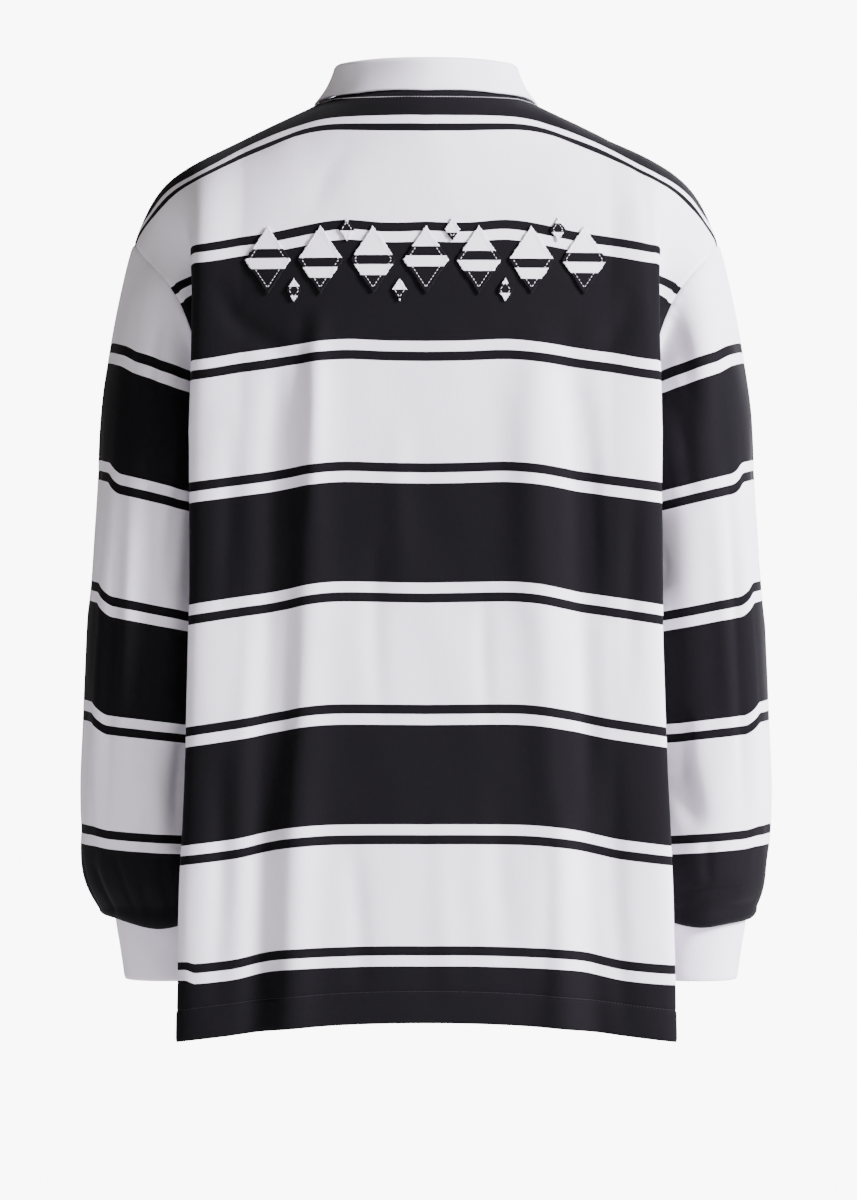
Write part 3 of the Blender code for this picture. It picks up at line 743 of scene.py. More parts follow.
def stripe_shift(face, w):
    """How much lower the stripes hang on the +X half of a face, from its level thread coordinates."""
    values = np.array([row[1:] for row in STRIPE_SHIFT], float)
    values[:, 0] *= face.shoulder_shift
    around = np.linspace(0, 1, w.shape[1] - len(STRAIGHT_COLUMNS) + 1)[1:]
    past = np.interp(around, (0, CREST_SHARE), (LEAD_COLUMNS[1], FOLD_X_AT_RIDGE))
    by_column = spline(column(STRIPE_SHIFT, "x"), values, np.concatenate([STRAIGHT_COLUMNS, past]))
    shift = np.stack([np.interp(w[:, i], SHIFT_W, by_column[i]) for i in range(w.shape[1])], axis=1)
    share = np.concatenate([np.zeros(len(STRAIGHT_COLUMNS)), around])
    on_wall = smooth((share - WALL_SHARE) / WALL_SHARE_LENGTH)
    near_arm = smooth((w - WALL_SHIFT_START) / WALL_SHIFT_GROWTH)
    near_arm *= smooth((WALL_SHIFT_END - w) / WALL_SHIFT_DECLINE)
    near_tip = smooth(share / TIP_SHARE) * smooth((TIP_SHIFT_END - w) / TIP_SHIFT_LENGTH)
    return shift + WALL_SHIFT * on_wall * near_arm + TIP_SHIFT * face.shoulder_shift * near_tip


def crease_relief(creases, across, down, arc=None):
    """Height of the creases over a grid of cloth; round a tube, across is in degrees that are arc long."""
    relief = np.zeros(np.broadcast(across, down).shape)
    for crease in creases:
        off = across - crease.across_1
        x, y = half_turn(off) * arc if arc else off, down - crease.down_1
        run_x, run_y = (crease.across_2 - crease.across_1) * (arc or 1), crease.down_2 - crease.down_1
        length = math.hypot(run_x, run_y)
        along = np.clip((x * run_x + y * run_y) / length ** 2, 0, 1)
        side = (x * run_y - y * run_x) / length - crease.bow * np.sin(math.pi * along)
        relief += crease.depth * np.sin(math.pi * along) ** CREASE_END_POWER * bell(side, crease.width)
    return relief


def unevenness(across, down):
    """Height of the low, wide waves that worn jersey has all over."""
    a, b, c, d = UNEVEN_SPANS
    bend_1, bend_2 = UNEVEN_BENDS
    slow = np.sin(across / a + bend_1 * np.sin(down / b)) * np.sin(down / c + bend_2 * np.sin(across / d))
    a, b, c, d = UNEVEN_FINE_SPANS
    quick = np.sin(across / a - down / b) * np.sin(down / c + across / d)
    return UNEVEN * slow + UNEVEN_FINE * quick


def grid_normals(points, closed=False):
    """Unit vectors square to a grid: to the right hand of its columns' way, seen along its rows' way."""
    if closed:
        across = np.roll(points, -1, axis=1) - np.roll(points, 1, axis=1)
    else:
        across = np.gradient(points, axis=1)
    return unit(np.cross(across, np.gradient(points, axis=0)))


def pucker(along, from_seam):
    """Small uneven gathers that a seam leaves in the cloth beside it."""
    drift = PUCKER_DRIFT * np.sin(along / PUCKER_DRIFT_SPAN)
    wave = np.sin(2 * math.pi * along / PUCKER_PITCH + drift)
    return PUCKER * wave * bell(from_seam - PUCKER_REACH, PUCKER_REACH)


def face_relief(face, u, w):
    """Height of creases, seams, hem and vents over a whole face."""
    from_side = np.abs(u[:, -1:]) - np.abs(u)
    from_top = w - w[:1]
    vent = smooth((w - VENT_TOP_W) / VENT_GROWTH)
    calm = smooth(from_side / SEAM_CALM + vent * VENT_CALM) * smooth(from_top / SEAM_CALM)
    relief = (crease_relief(CREASES[face.name], u, w) + unevenness(u, w)) * calm
    if face is BACK:
        across, down = PATCHED_HALF_WIDTH - np.abs(u), PATCHED_HALF_DEPTH - np.abs(w - PATCHED_W)
        relief *= 1 - smooth(across / SEAM_CALM) * smooth(down / SEAM_CALM)
    past_neck = smooth((np.abs(u) - NECK_HALF_WIDTH) / NECK_CALM)
    side_seam, top_seam = bell(from_side, SEAM_ROLL_WIDTH), bell(from_top, SEAM_ROLL_WIDTH)
    relief -= SEAM_ROLL * np.maximum(side_seam * (1 - vent), top_seam * past_neck)
    from_line = w - HEM_LINE_W
    relief += pucker(w, from_side) * (1 - vent) + pucker(u, np.abs(from_line) + HEM_PUCKER_OFF)
    turned_in = smooth(from_line / TURN_EDGE) + smooth((VENT_TURN - from_side) / TURN_EDGE) * vent
    relief += TURN_THICK * np.minimum(turned_in, 1) - HEM_GROOVE * bell(from_line, HEM_GROOVE_WIDTH)
    return relief - HEM_ROLL * bell(HEM_W - w, HEM_ROLL_WIDTH)


def face_half(face):
    """Points, thread coordinates and level rows of the +X half of a face, from the top edge to the hem."""
    upper = upper_rows(face)
    climb = run_length(upper[::-1])[::-1]
    upper_w = CHEST_W - climb
    upper[:, -1] -= seam_out(upper) * SEAM_GAP / 2
    upper[0, :, 1] += face.sign * SEAM_GAP / 2
    upper[-1, -1, 1] += face.sign * SEAM_GAP / 2
    half = np.concatenate([upper, lower_rows(face)])
    lower_w = CHEST_W + (CHEST_Z - LOWER_HEIGHTS)[:, None] + np.zeros(half.shape[1])
    w = np.concatenate([upper_w, lower_w])
    u = run_length(half, axis=1)
    return half, np.stack([u, w - stripe_shift(face, w)], axis=-1), w


def face_grid(face):
    """Points and thread coordinates of a whole face, columns from -X to +X."""
    half, coords, level = face_half(face)
    points, coords = mirrored(half), mirrored(coords, (-1, 1))
    u, w = coords[..., 0], mirrored(level[..., None], 1)[..., 0]
    kink = smooth((points[..., 0] - VENT_KINK_X) / VENT_KINK_X_GROWTH)
    coords[..., 1] += VENT_KINK * kink * smooth((w - VENT_KINK_W) / VENT_KINK_W_GROWTH)
    relief = face_relief(face, u, w)
    return points + grid_normals(points) * face.sign * relief[..., None], coords


def ring(spec, angles, relief=0):
    """Level oval, angle 0 on its outer side and a quarter turn at its back, moved out by relief."""
    centre_x = spec.outer_x - spec.half_width
    x = centre_x + (spec.half_width + relief) * np.cos(angles)
    y = spec.centre_y + (spec.half_depth + relief) * np.sin(angles)
    return np.stack([x, y, np.full_like(x, spec.z)], axis=-1)


def wrist_shift(points):
    """Points of an arm moved to the side towards the wrist."""
    down = np.clip((WRIST_SHIFT_TOP - points[..., 2:]) / (WRIST_SHIFT_TOP - WRIST_SHIFT_FULL), 0, 1)
    return points + WRIST_SHIFT * smooth(down) * (1, 0, 0)


def sleeve_relief(z, angles):
    """Height of the sleeve's soft upright folds on a ring."""
    relief = np.zeros_like(angles)
    for fold in SLEEVE_FOLDS:
        along = np.clip((z - fold.z_end) / (fold.z_top - fold.z_end), 0, 1)
        off = half_turn(np.degrees(angles) - fold.angle)
        relief += fold.depth * math.sin(math.pi * along) * bell(off, fold.width)
    return relief


def ring_at(z):
    rising = SLEEVE_RINGS[::-1]
    values = spline(column(rising, "z"), np.array([row[1:] for row in rising], float), z)
    return SLEEVE_RINGS[0]._make((z, *values))


def armhole():
    """Seam points all round the armhole, from the shoulder point over the back, and the ways out."""
    back, front = upper_rows(BACK), upper_rows(FRONT)
    seam = np.concatenate([back[:, -1], front[-2:0:-1, -1]])
    out = np.concatenate([seam_out(back), seam_out(front)[-2:0:-1]])
    run = run_length(back[:, -1])
    half = run / run[-1] * math.pi
    return seam, out, np.concatenate([half, 2 * math.pi - half[-2:0:-1]])


def sleeve_grid():
    """Plain sleeve from the armhole seam down, the angle of each column and rows' distance from the seam."""
    seam, out, angles = armhole()
    edge = seam + out * SEAM_GAP / 2
    start = edge + out * SEAM_FLAT
    end = ring(ring_at(SLEEVE_RINGS[0].z), angles)
    pull = CAP_PULL * np.linalg.norm(end - start, axis=1)[:, None]
    first_pull = np.minimum(pull, SEAM_PULL)
    rows = [edge + (start - edge) * t for t in SEAM_ROWS]
    for t in np.linspace(0, 1, CAP_CELLS + 1)[:-1]:
        a, b = start + out * first_pull, end + np.array([0, 0, 1]) * pull
        rows.append((1 - t) ** 3 * start + 3 * (1 - t) ** 2 * t * a + 3 * (1 - t) * t ** 2 * b + t ** 3 * end)
    for z in np.linspace(SLEEVE_RINGS[0].z, SLEEVE_RINGS[-1].z, SLEEVE_CELLS + 1):
        rows.append(ring(ring_at(z), angles, sleeve_relief(z, angles)))
    return np.array(rows), angles


def cuff_ring(grow, angles, z):
    """Oval round the top of the cuff, grown outwards, at a height for each angle."""
    lip = CUFF_TOP._replace(outer_x=CUFF_TOP.outer_x + grow, half_width=CUFF_TOP.half_width + grow,
                            half_depth=CUFF_TOP.half_depth + grow)
    points = ring(lip, angles)
    points[:, 2] = z
    return points


def sleeve_end(last, angles, side):
    """Rows from the last ring of the sleeve down over the cuff, and back up behind to the seam."""
    hang = spline(column(SLEEVE_HANG, "turn"), column(SLEEVE_HANG, side), half_turn(np.degrees(angles)))
    rest = CUFF_TOP_Z + SEAM_GAP + JERSEY_THICK / 2
    low = rest - HANG_LEAST - hang
    bottom = cuff_ring(HANG_OUT, angles, low)
    rows = []
    for bend in np.radians(HANG_BENDS):
        inward, downward = 1 - math.cos(bend), math.sin(bend)
        rows.append(last + (bottom - last) * (inward, inward, downward))
    lip, behind = low + LIP_RISES[0], low + LIP_RISES[1]
    for grow, z in ((HANG_IN + LIP_OUT, lip), (HANG_IN, behind), (HANG_IN, (behind + rest) / 2),
                    (HANG_IN, rest), (HANG_IN / 2, rest), (0, rest)):
        rows.append(cuff_ring(grow, angles, z))
    return np.array(rows)


def dressed_sleeve(side):
    """Left or right sleeve, still on the +X side, with its creases and its end, and its columns' angles."""
    points, angles = sleeve_grid()
    from_seam, down, turn = run_length(points), -points[..., 2], np.degrees(angles)
    around = (180 - np.abs(180 - turn)) * SLEEVE_ARC
    relief = crease_relief(CREASES[side], turn, down, SLEEVE_ARC) + unevenness(around, down)
    relief = relief * smooth(from_seam / SEAM_CALM) - SEAM_ROLL * bell(from_seam, SEAM_ROLL_WIDTH)
    relief += pucker(around, from_seam)
    points = points - grid_normals(points, closed=True) * relief[..., None]
    return np.concatenate([points, sleeve_end(points[-1], angles, side)]), angles


def cuff_grid():
    """Left cuff from its seam with the sleeve down, with its creases; the right one is its mirror."""
    angles = np.linspace(0, 2 * math.pi, CUFF_AROUND, endpoint=False)
    shares = (*np.linspace(0, 1, CUFF_CELLS + 1)[:-1], CUFF_EDGE_SHARE, 1)
    rings = [CUFF_TOP._make(a + (b - a) * t for a, b in zip(CUFF_TOP, CUFF_END)) for t in shares]
    points = np.array([ring(spec, angles) for spec in rings])
    z = points[..., 2]
    relief = crease_relief(CREASES["cuff"], np.degrees(angles), -z, CUFF_ARC)
    relief = relief * smooth((CUFF_TOP_Z - z) / CUFF_CALM) - CUFF_ROLL * bell(z - CUFF_END_Z, CUFF_ROLL_WIDTH)
    return points - grid_normals(points, closed=True) * relief[..., None]


def neck_point(place):
    """Neck edge of the left half by place, 0 in the middle of the back to 11 at the front."""
    if place <= len(NECK_BACK) - 1:
        columns, at, face = NECK_BACK, place, BACK
    else:
        columns, at, face = (NECK_BACK[-1], *NECK_FRONT), place - len(NECK_BACK) + 1, FRONT
    turns = np.arcsin(np.array(columns) / NECK_HALF_WIDTH)
    x = NECK_HALF_WIDTH * math.sin(np.interp(at, range(len(columns)), turns))
    return upper_point(face, np.array(x), 0) + (0, 0, COLLAR_LIFT)


def collar_grid():
    """Stand from the neck seam up to the fold, and leaf from the fold down to the outer edge."""
    keys = np.array([row[1:] for row in COLLAR], float)
    keys = np.concatenate([keys[2:0:-1] * (-1, 1, 1, -1, 1), keys])
    knots = [-row.place for row in COLLAR[2:0:-1]] + column(COLLAR, "place")
    places = np.linspace(0, COLLAR[-1].place, COLLAR_STATIONS + 1)
    rows = []
    for place, station in zip(places, spline(knots, keys, places)):
        seam = neck_point(place)
        fold, (edge_x, edge_turn) = station[:3], station[3:]
        face = BACK if edge_turn >= 0 else FRONT
        edge = turn_point(face, np.float64(edge_x), edge_turn)
        edge = edge + unit(edge - (0, 0, CHEST_Z)) * LEAF_CLEARANCE
        over = unit((edge - fold) * (1, 1, 0))
        stand = [seam + (fold - seam) * t for t in np.linspace(0, 1, STAND_CELLS + 1)[:-1]]
        crest = [fold + over * FOLD_RADIUS * (1 - math.cos(bend)) + (0, 0, FOLD_RISE * math.sin(bend))
                 for bend in np.radians(np.linspace(0, 180, CREST_CELLS + 1))]
        outer = crest[-1]
        bulge = unit(np.cross(edge - outer, np.cross(over, (0, 0, 1)))) * LEAF_BULGE
        leaf = [outer + (edge - outer) * t + bulge * math.sin(math.pi * t)
                for t in np.linspace(0, 1, LEAF_CELLS + 1)[1:]]
        rows.append(stand + crest + leaf)
    return mirrored(np.array(rows).transpose(1, 0, 2))


def on_back(x, z, lift):
    """Points over the back panel's plain form."""
    points = np.stack([x, face_y(BACK, x, z), z], axis=-1)
    return points + outward(BACK, points) * np.expand_dims(lift, -1)


def lozenge_grid(centre_x, centre_z, size, lift, cells):
    """Lozenge on the back panel's form, rows and columns along its sides, its edges uneven and curled up."""
    t = np.linspace(-1, 1, cells + 1)
    a, b = np.meshgrid(t, t)
    rim = smooth((np.maximum(np.abs(a), np.abs(b)) - 1) * size[0] / 2 / RIM_WIDTH + 1)
    p, q, r, s = RAGGED_WAVES
    ragged = np.sin(p * a + q * b + centre_x) * np.sin(r * a - s * b + centre_z)
    grow = 1 + rim * RAGGED / size[0] * ragged
    x = centre_x + size[0] * grow * (a - b) / 2
    z = centre_z - size[1] * grow * (a + b) / 2
    wave = np.sin(CURL_WAVES[0] * a - CURL_WAVES[1] * b + centre_x)
    return on_back(x, z, lift + EDGE_CURL * rim * (1 - CURL_UNEVEN + CURL_UNEVEN * wave))


def placket_grid(columns, steps, lift):
    """Strip of the front panel's own points round the middle, moved out."""
    points = np.array([upper_point(FRONT, columns, step) for step in steps])
    return points + outward(FRONT, points) * lift


# ======== meshes ========

def thread_coords(points, closed=False):
    """Plain thread coordinates of a grid: lengths along its rows and down its columns."""
    if closed:
        points = np.concatenate([points, points[:, :1]], axis=1)
    return np.stack([run_length(points, axis=1), run_length(points)], axis=-1)


def grid_mesh(name, points, coords, closed=False, flip=False, keep=None):
    """Quad mesh through millimetre points; closed joins the last column to the first."""
    rows, cols = points.shape[:2]
    r, c = np.mgrid[0:rows - 1, 0:cols if closed else cols - 1]
    shown = np.ones(r.shape, bool) if keep is None else keep(r, c)
    r, c = r[shown], c[shown]
    corners = ((r, c), (r + 1, c), (r + 1, c + 1), (r, c + 1))
    if flip:
        corners = corners[::-1]
    quads = np.stack([a * cols + b % cols for a, b in corners], axis=-1)
    uv = np.stack([coords[a, b] for a, b in corners], axis=1).reshape(-1, 2) * MM
    used, quads = np.unique(quads, return_inverse=True)
    mesh = bpy.data.meshes.new(name)
    mesh.from_pydata((points.reshape(-1, 3)[used] * MM).tolist(), [], quads.reshape(-1, 4).tolist())
    mesh.uv_layers.new(name="cloth").uv.foreach_set("vector", uv.ravel())
    mesh.shade_smooth()
    return mesh


def add_object(name, data):
    made = bpy.data.objects.new(name, data)
    bpy.context.scene.collection.objects.link(made)
    return made


def add_piece(name, mesh, finish, thickness=None):
    """Object that rides on the body; a thickness makes it a wall, half on each side of the mesh."""
    item = add_object(name, mesh)
    mesh.materials.append(finish)
    if thickness:
        shell = item.modifiers.new("cloth thickness", "SOLIDIFY")
        shell.thickness = thickness * MM
        shell.offset = 0
    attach(item, "root")
    return item


def add_cloth(name, points, coords, finish, slot, **how):
    return add_piece(name, grid_mesh(name, points, coords, **how), finish, CLOTH_THICK[slot])


# ======== materials ========

BLACK_YARN = (0.0042, 0.0038, 0.005, 1)
WHITE_YARN = (0.80, 0.773, 0.848, 1)
PEARL = ((0.78, 0.76, 0.73, 1), (0.9, 0.89, 0.87, 1))
# Stitches of the knit, in millimetres.
WALE_PITCH = 0.8
COURSE_PITCH = 0.65
STRIPE_EDGE_RAG = 0.12
RIB_PITCH = 2.1
RIB_COURSE_PITCH = 0.9
# Scale and detail of the noises, in metres: soft clouds, slubs, fuzz, and streaks along the wales.
CLOUDS = (45, 4)
RIB_CLOUDS = (60, 4)
SLUBS = (130, 3)
FUZZ = (900, 2)
STREAKS = (520, 45, 1)
TWIST = (1500, 2)
PEARL_WAVES = (180, 3)


class Nodes:
    """Short calls for building the node tree of a material or a world."""

    def __init__(self, owner):
        owner.use_nodes = True
        self.tree = owner.node_tree
        self.tree.nodes.clear()

    def add(self, kind, inputs=(), output=0, **settings):
        """Add a node, and return the output asked for."""
        node = self.tree.nodes.new("ShaderNode" + kind)
        for key, value in settings.items():
            setattr(node, key, value)
        for key, value in dict(inputs).items():
            if isinstance(value, bpy.types.NodeSocket):
                self.tree.links.new(value, node.inputs[key])
            else:
                node.inputs[key].default_value = value
        return node.outputs[output] if node.outputs else None

    def math(self, operation, *values):
        return self.add("Math", dict(enumerate(values)), operation=operation)

    def total(self, base, *parts):
        """base, with each part's value times its share added."""
        for value, share in parts:
            base = self.math("ADD", base, self.math("MULTIPLY", value, share))
        return base

    def wave(self, along, pitch):
        """Sine that repeats every pitch millimetres."""
        return self.math("SINE", self.math("MULTIPLY", along, 2 * math.pi / (pitch * MM)))

    def noise(self, place, scale, detail, **more):
        return self.add("TexNoise", {"Vector": place, "Scale": scale, "Detail": detail, **more})

    def mix(self, factor, first, second):
        return self.add("Mix", {0: factor, 6: first, 7: second}, 2, data_type="RGBA")

    def toned(self, colour, tone):
        return self.add("VectorMath", {0: colour, 3: tone}, operation="SCALE")

    def bump(self, height, strength, depth=0.6):
        return self.add("Bump", {"Strength": strength, "Distance": depth * MM, "Height": height})

    def surface(self, inputs):
        self.add("OutputMaterial", {0: self.add("BsdfPrincipled", inputs)})


def new_material(name):
    made = bpy.data.materials.new(name)
    return made, Nodes(made)


def cloth_place(nodes):
    """The thread coordinates of a piece, and each of the two by itself."""
    place = nodes.add("UVMap", uv_map="cloth")
    return place, *nodes.add("SeparateXYZ", {0: place}, slice(2))


def striped_black(nodes, w):
    """1 on black yarn and 0 on white, from the thread coordinate in metres."""
    period = sum(STRIPE_WIDTHS)
    cycle = nodes.math("DIVIDE", nodes.math("SUBTRACT", w, STRIPE_START * MM), period * MM)
    phase = nodes.math("FRACT", cycle)
    passed = 0
    for edge in np.cumsum(STRIPE_WIDTHS[:-1]):
        passed = nodes.math("ADD", passed, nodes.math("GREATER_THAN", phase, edge / period))
    return nodes.math("MODULO", passed, 2)


def jersey_material():
    made, nodes = new_material("striped_jersey")
    place, u, w = cloth_place(nodes)
    wale, course = nodes.wave(u, WALE_PITCH), nodes.wave(w, COURSE_PITCH)
    black = striped_black(nodes, nodes.total(w, (wale, STRIPE_EDGE_RAG * MM)))
    cloud, slub, fuzz = (nodes.noise(place, *size) for size in (CLOUDS, SLUBS, FUZZ))
    streak = nodes.noise(nodes.add("VectorMath", {0: place, 1: STREAKS}, operation="MULTIPLY"), 1, 2)
    tone = nodes.total(0.91, (cloud, 0.06), (fuzz, 0.07), (streak, 0.05))
    height = nodes.total(0, (wale, 0.03), (course, 0.018), (fuzz, 0.10), (slub, 0.35), (streak, 0.25))
    nodes.surface({"Base Color": nodes.toned(nodes.mix(black, WHITE_YARN, BLACK_YARN), tone),
                   "Roughness": nodes.total(0.80, (fuzz, 0.10)), "Normal": nodes.bump(height, 0.45),
                   "Sheen Weight": 0.03, "Sheen Roughness": 0.4, "Specular IOR Level": 0.08})
    return made


def rib_material():
    made, nodes = new_material("white_rib")
    place, u, w = cloth_place(nodes)
    rib, course = nodes.wave(u, RIB_PITCH), nodes.wave(w, RIB_COURSE_PITCH)
    cloud, fuzz = nodes.noise(place, *RIB_CLOUDS), nodes.noise(place, *FUZZ)
    # The tone follows the rib wave that also raises the bump. The ribs are a little lighter and the grooves
    # between them a little darker, which is painted shade in the grooves. The clouds and fuzz vary the tone
    # at random.
    tone = nodes.total(0.945, (cloud, 0.05), (fuzz, 0.06), (rib, 0.015))
    height = nodes.total(0, (rib, 0.12), (course, 0.06), (fuzz, 0.15))
    nodes.surface({"Base Color": nodes.toned(WHITE_YARN[:3], tone),
                   "Roughness": nodes.total(0.82, (fuzz, 0.10)), "Normal": nodes.bump(height, 0.5),
                   "Sheen Weight": 0.1, "Sheen Roughness": 0.5, "Specular IOR Level": 0.25})
    return made


def thread_material(name, yarn):
    made, nodes = new_material(name)
    twist = nodes.noise(nodes.add("TexCoord", output="Object"), *TWIST)
    nodes.surface({"Base Color": nodes.toned(yarn[:3], nodes.total(0.85, (twist, 0.2))),
                   "Roughness": 0.6, "Normal": nodes.bump(twist, 0.4, 0.2)})
    return made


def button_material():
    made, nodes = new_material("pearl_button")
    wave = nodes.noise(nodes.add("TexCoord", output="Object"), *PEARL_WAVES, Distortion=1.5)
    nodes.surface({"Base Color": nodes.mix(wave, *PEARL), "Roughness": nodes.total(0.2, (wave, 0.1)),
                   "Coat Weight": 0.3})
    return made


# ======== pieces ========

def along_path(run, values, places):
    return np.stack([np.interp(places, run, part) for part in values.T], axis=-1)


def stitch_faces():
    """Faces of one stitch: the sides between its rings, and a cap at each end."""
    faces, sides = [], STITCH_SIDES
    last = (len(STITCH_RINGS) - 1) * sides
    for low in range(0, last, sides):
        for side in range(sides):
            a, b = low + side, low + (side + 1) % sides
            faces.append((a, b, b + sides, a + sides))
    return faces + [range(sides)[::-1], range(last, last + sides)]


def add_stitches(name, paths, pitch, thread):
    """Short rounded stitches along paths of points with their ways out, joined in one mesh.

    An endless pitch gives each path one stitch.
    """
    turns = 2 * math.pi * np.arange(STITCH_SIDES)[:, None] / STITCH_SIDES
    stitches = []
    for points, ways in paths:
        run = run_length(points)
        count = max(1, round(run[-1] / pitch))
        middle = (np.arange(count) + 0.5) * run[-1] / count
        reach = run[-1] / count * STITCH_HALF_SHARE
        first, last = along_path(run, points, middle - reach), along_path(run, points, middle + reach)
        way = unit(along_path(run, ways, middle))
        across = unit(np.cross(way, last - first))
        spokes = across[:, None] * np.cos(turns) + way[:, None] * np.sin(turns)
        rings = []
        for shape in STITCH_RINGS:
            centre = first + (last - first) * shape.along + way * THREAD_RADIUS * shape.height
            rings.append(centre[:, None] + spokes * THREAD_RADIUS * shape.thick)
        stitches.append(np.stack(rings, axis=1))
    points = np.concatenate(stitches).reshape(-1, 3)
    starts, faces = range(0, len(points), len(STITCH_RINGS) * STITCH_SIDES), stitch_faces()
    mesh = bpy.data.meshes.new(name)
    mesh.from_pydata((points * MM).tolist(), [],
                     [[start + corner for corner in face] for start in starts for face in faces])
    mesh.shade_smooth()
    add_piece(name, mesh, thread)


def hem_path(face, grid):
    """The stitch line over the turned-up hem, on the cloth's outer side."""
    way = grid_normals(grid)[HEM_LINE_ROW] * face.sign
    return grid[HEM_LINE_ROW] + way * JERSEY_THICK / 2, way


def add_panels(jersey, thread, dark_thread):
    """Back and front panels, with the stitches at the neck and round the hem."""
    back, coords = face_grid(BACK)
    item = add_cloth("back_shell", back, coords, jersey, "jersey")
    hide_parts("back_panel")
    x = np.linspace(-NECK_STITCHES[-1].x, NECK_STITCHES[-1].x, LINE_POINTS)
    z = np.interp(np.abs(x), column(NECK_STITCHES, "x"), column(NECK_STITCHES, "z"))
    line = on_back(x, z, JERSEY_THICK / 2 + NECK_STITCH_LIFT)
    add_stitches("neck_stitches", [(line, outward(BACK, line))], TOPSTITCH_PITCH, thread)
    front, coords = face_grid(FRONT)
    paths = [hem_path(BACK, back), hem_path(FRONT, front)]
    add_stitches("hem_stitches", paths, TOPSTITCH_PITCH, dark_thread)
    slit_rows = np.searchsorted(UPPER_STEPS, PLACKET_END_STEP)
    middle, half_cells = front.shape[1] // 2, math.ceil(PLACKET_HALF / CELL)

    def cloth_here(row, col):
        return (row >= slit_rows) | (col < middle - half_cells) | (col >= middle + half_cells)

    item = add_cloth("front_shell", front, coords, jersey, "jersey", flip=True, keep=cloth_here)
    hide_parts("front_panel")


def sleeve_coords(points, angles):
    """Thread coordinates of the sleeve: level rings of cloth that tilt down towards the body."""
    whole = np.concatenate([points, points[:, :1]], axis=1)
    back_z, tilt, step, w = (np.array(column(SLEEVE_THREADS[::-1], name), float)
                             for name in ("back_z", "tilt", "step", "w"))
    columns = []
    for angle, z in zip(half_turn(np.append(np.degrees(angles), 0)), whole[..., 2].T):
        outside = smooth((CREASE_ANGLE + CREASE_WIDTH - angle) / (2 * CREASE_WIDTH))
        outside *= smooth((angle - STEP_RETURN_ANGLE + STEP_RETURN_WIDTH) / (2 * STEP_RETURN_WIDTH))
        columns.append(spline(back_z + tilt * math.cos(math.radians(angle)) + step * outside, w, z))
    return np.stack([run_length(whole, axis=1), np.stack(columns, axis=1)], axis=-1)


def add_sleeves(jersey, rib):
    cuff = cuff_grid()
    for side, sign in (("left", 1), ("right", -1)):
        mirror, how = (sign, 1, 1), {"closed": True, "flip": sign > 0}
        points, angles = dressed_sleeve(side)
        arm, coords = wrist_shift(points * mirror), sleeve_coords(points, angles)
        item = add_cloth("sleeve_shell_" + side, arm, coords, jersey, "jersey", **how)
        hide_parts("sleeve_" + side)
        wrist, coords = wrist_shift(cuff * mirror), thread_coords(cuff, closed=True)
        item = add_cloth("cuff_shell_" + side, wrist, coords, rib, "rib", **how)
        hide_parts("cuff_" + side)


def add_collar(rib):
    points = collar_grid()
    item = add_cloth("collar_shell", points, thread_coords(points), rib, "rib")
    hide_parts("collar")


def add_placket_strip(name, node, half_width, last_step, lift, jersey):
    """One strip of the placket, its stripes in line with the front's."""
    steps = np.linspace(0, last_step, PLACKET_ROWS)
    columns = np.linspace(-half_width, half_width, PLACKET_COLUMNS)
    front_w = face_half(FRONT)[1][:len(UPPER_STEPS), 0, 1]
    coords = np.stack(np.meshgrid(columns, np.interp(steps, UPPER_STEPS, front_w)), axis=-1)
    item = add_cloth(name, placket_grid(columns, steps, lift), coords, jersey, "jersey", flip=True)
    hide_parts(node)


def add_placket(jersey, thread):
    """The two strips, the upper one stitched along its sides and its foot."""
    lift = JERSEY_THICK + LAID_GAP
    half, end = PLACKET_HALF - SEAM_GAP, PLACKET_END_STEP - PLACKET_END_GAP
    add_placket_strip("placket_lower", "placket_under", half, end, 0, jersey)
    half, end = PLACKET_HALF + PLACKET_OVERLAP, PLACKET_END_STEP + PLACKET_END_OVERLAP
    add_placket_strip("placket_upper", "placket_top", half, end, lift, jersey)
    inset, on_top = half - PLACKET_STITCH_INSET, lift + JERSEY_THICK / 2
    steps = np.linspace(PLACKET_STITCH_START, end - PLACKET_STITCH_STOP, PLACKET_ROWS)
    sides = placket_grid(np.array((-inset, inset)), steps, on_top)
    foot = placket_grid(np.linspace(-inset, inset, SHORT_LINE_POINTS), steps[-1:], on_top)[0]
    paths = [(line, outward(FRONT, line)) for line in (sides[:, 0], sides[:, 1], foot)]
    add_stitches("placket_stitches", paths, TOPSTITCH_PITCH, thread)


def add_button(number, plastic, thread):
    """Finish of a button, the two bars of thread through its holes, and the buttonhole round it."""
    name = "button_%d" % number
    bpy.data.objects[name].material_slots[0].material = plastic
    middle = np.mean(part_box(name), axis=0) / MM
    way = outward(FRONT, middle)
    down = unit(np.cross(way, (1, 0, 0)))
    ways, off = np.array([way, way]), BUTTON_HOLE_OFF
    face = middle + way * BUTTON_THICK / 2
    bars = [face + (side, 0, 0) + down * np.array([[-off], [off]]) for side in (-off, off)]
    add_stitches("button_thread_%d" % number, [(bar, ways) for bar in bars], math.inf, thread)
    slit = middle - way * (BUTTON_THICK / 2 + LAID_GAP)
    places = np.arange(-BUTTONHOLE_HALF, BUTTONHOLE_HALF + BUTTONHOLE_PITCH / 2, BUTTONHOLE_PITCH)
    bars = [slit + down * place + [(side * reach, 0, 0) for reach in BUTTONHOLE_BARS]
            for side in (-1, 1) for place in places]
    add_stitches("buttonhole_%d" % number, [(bar, ways) for bar in bars], math.inf, thread)


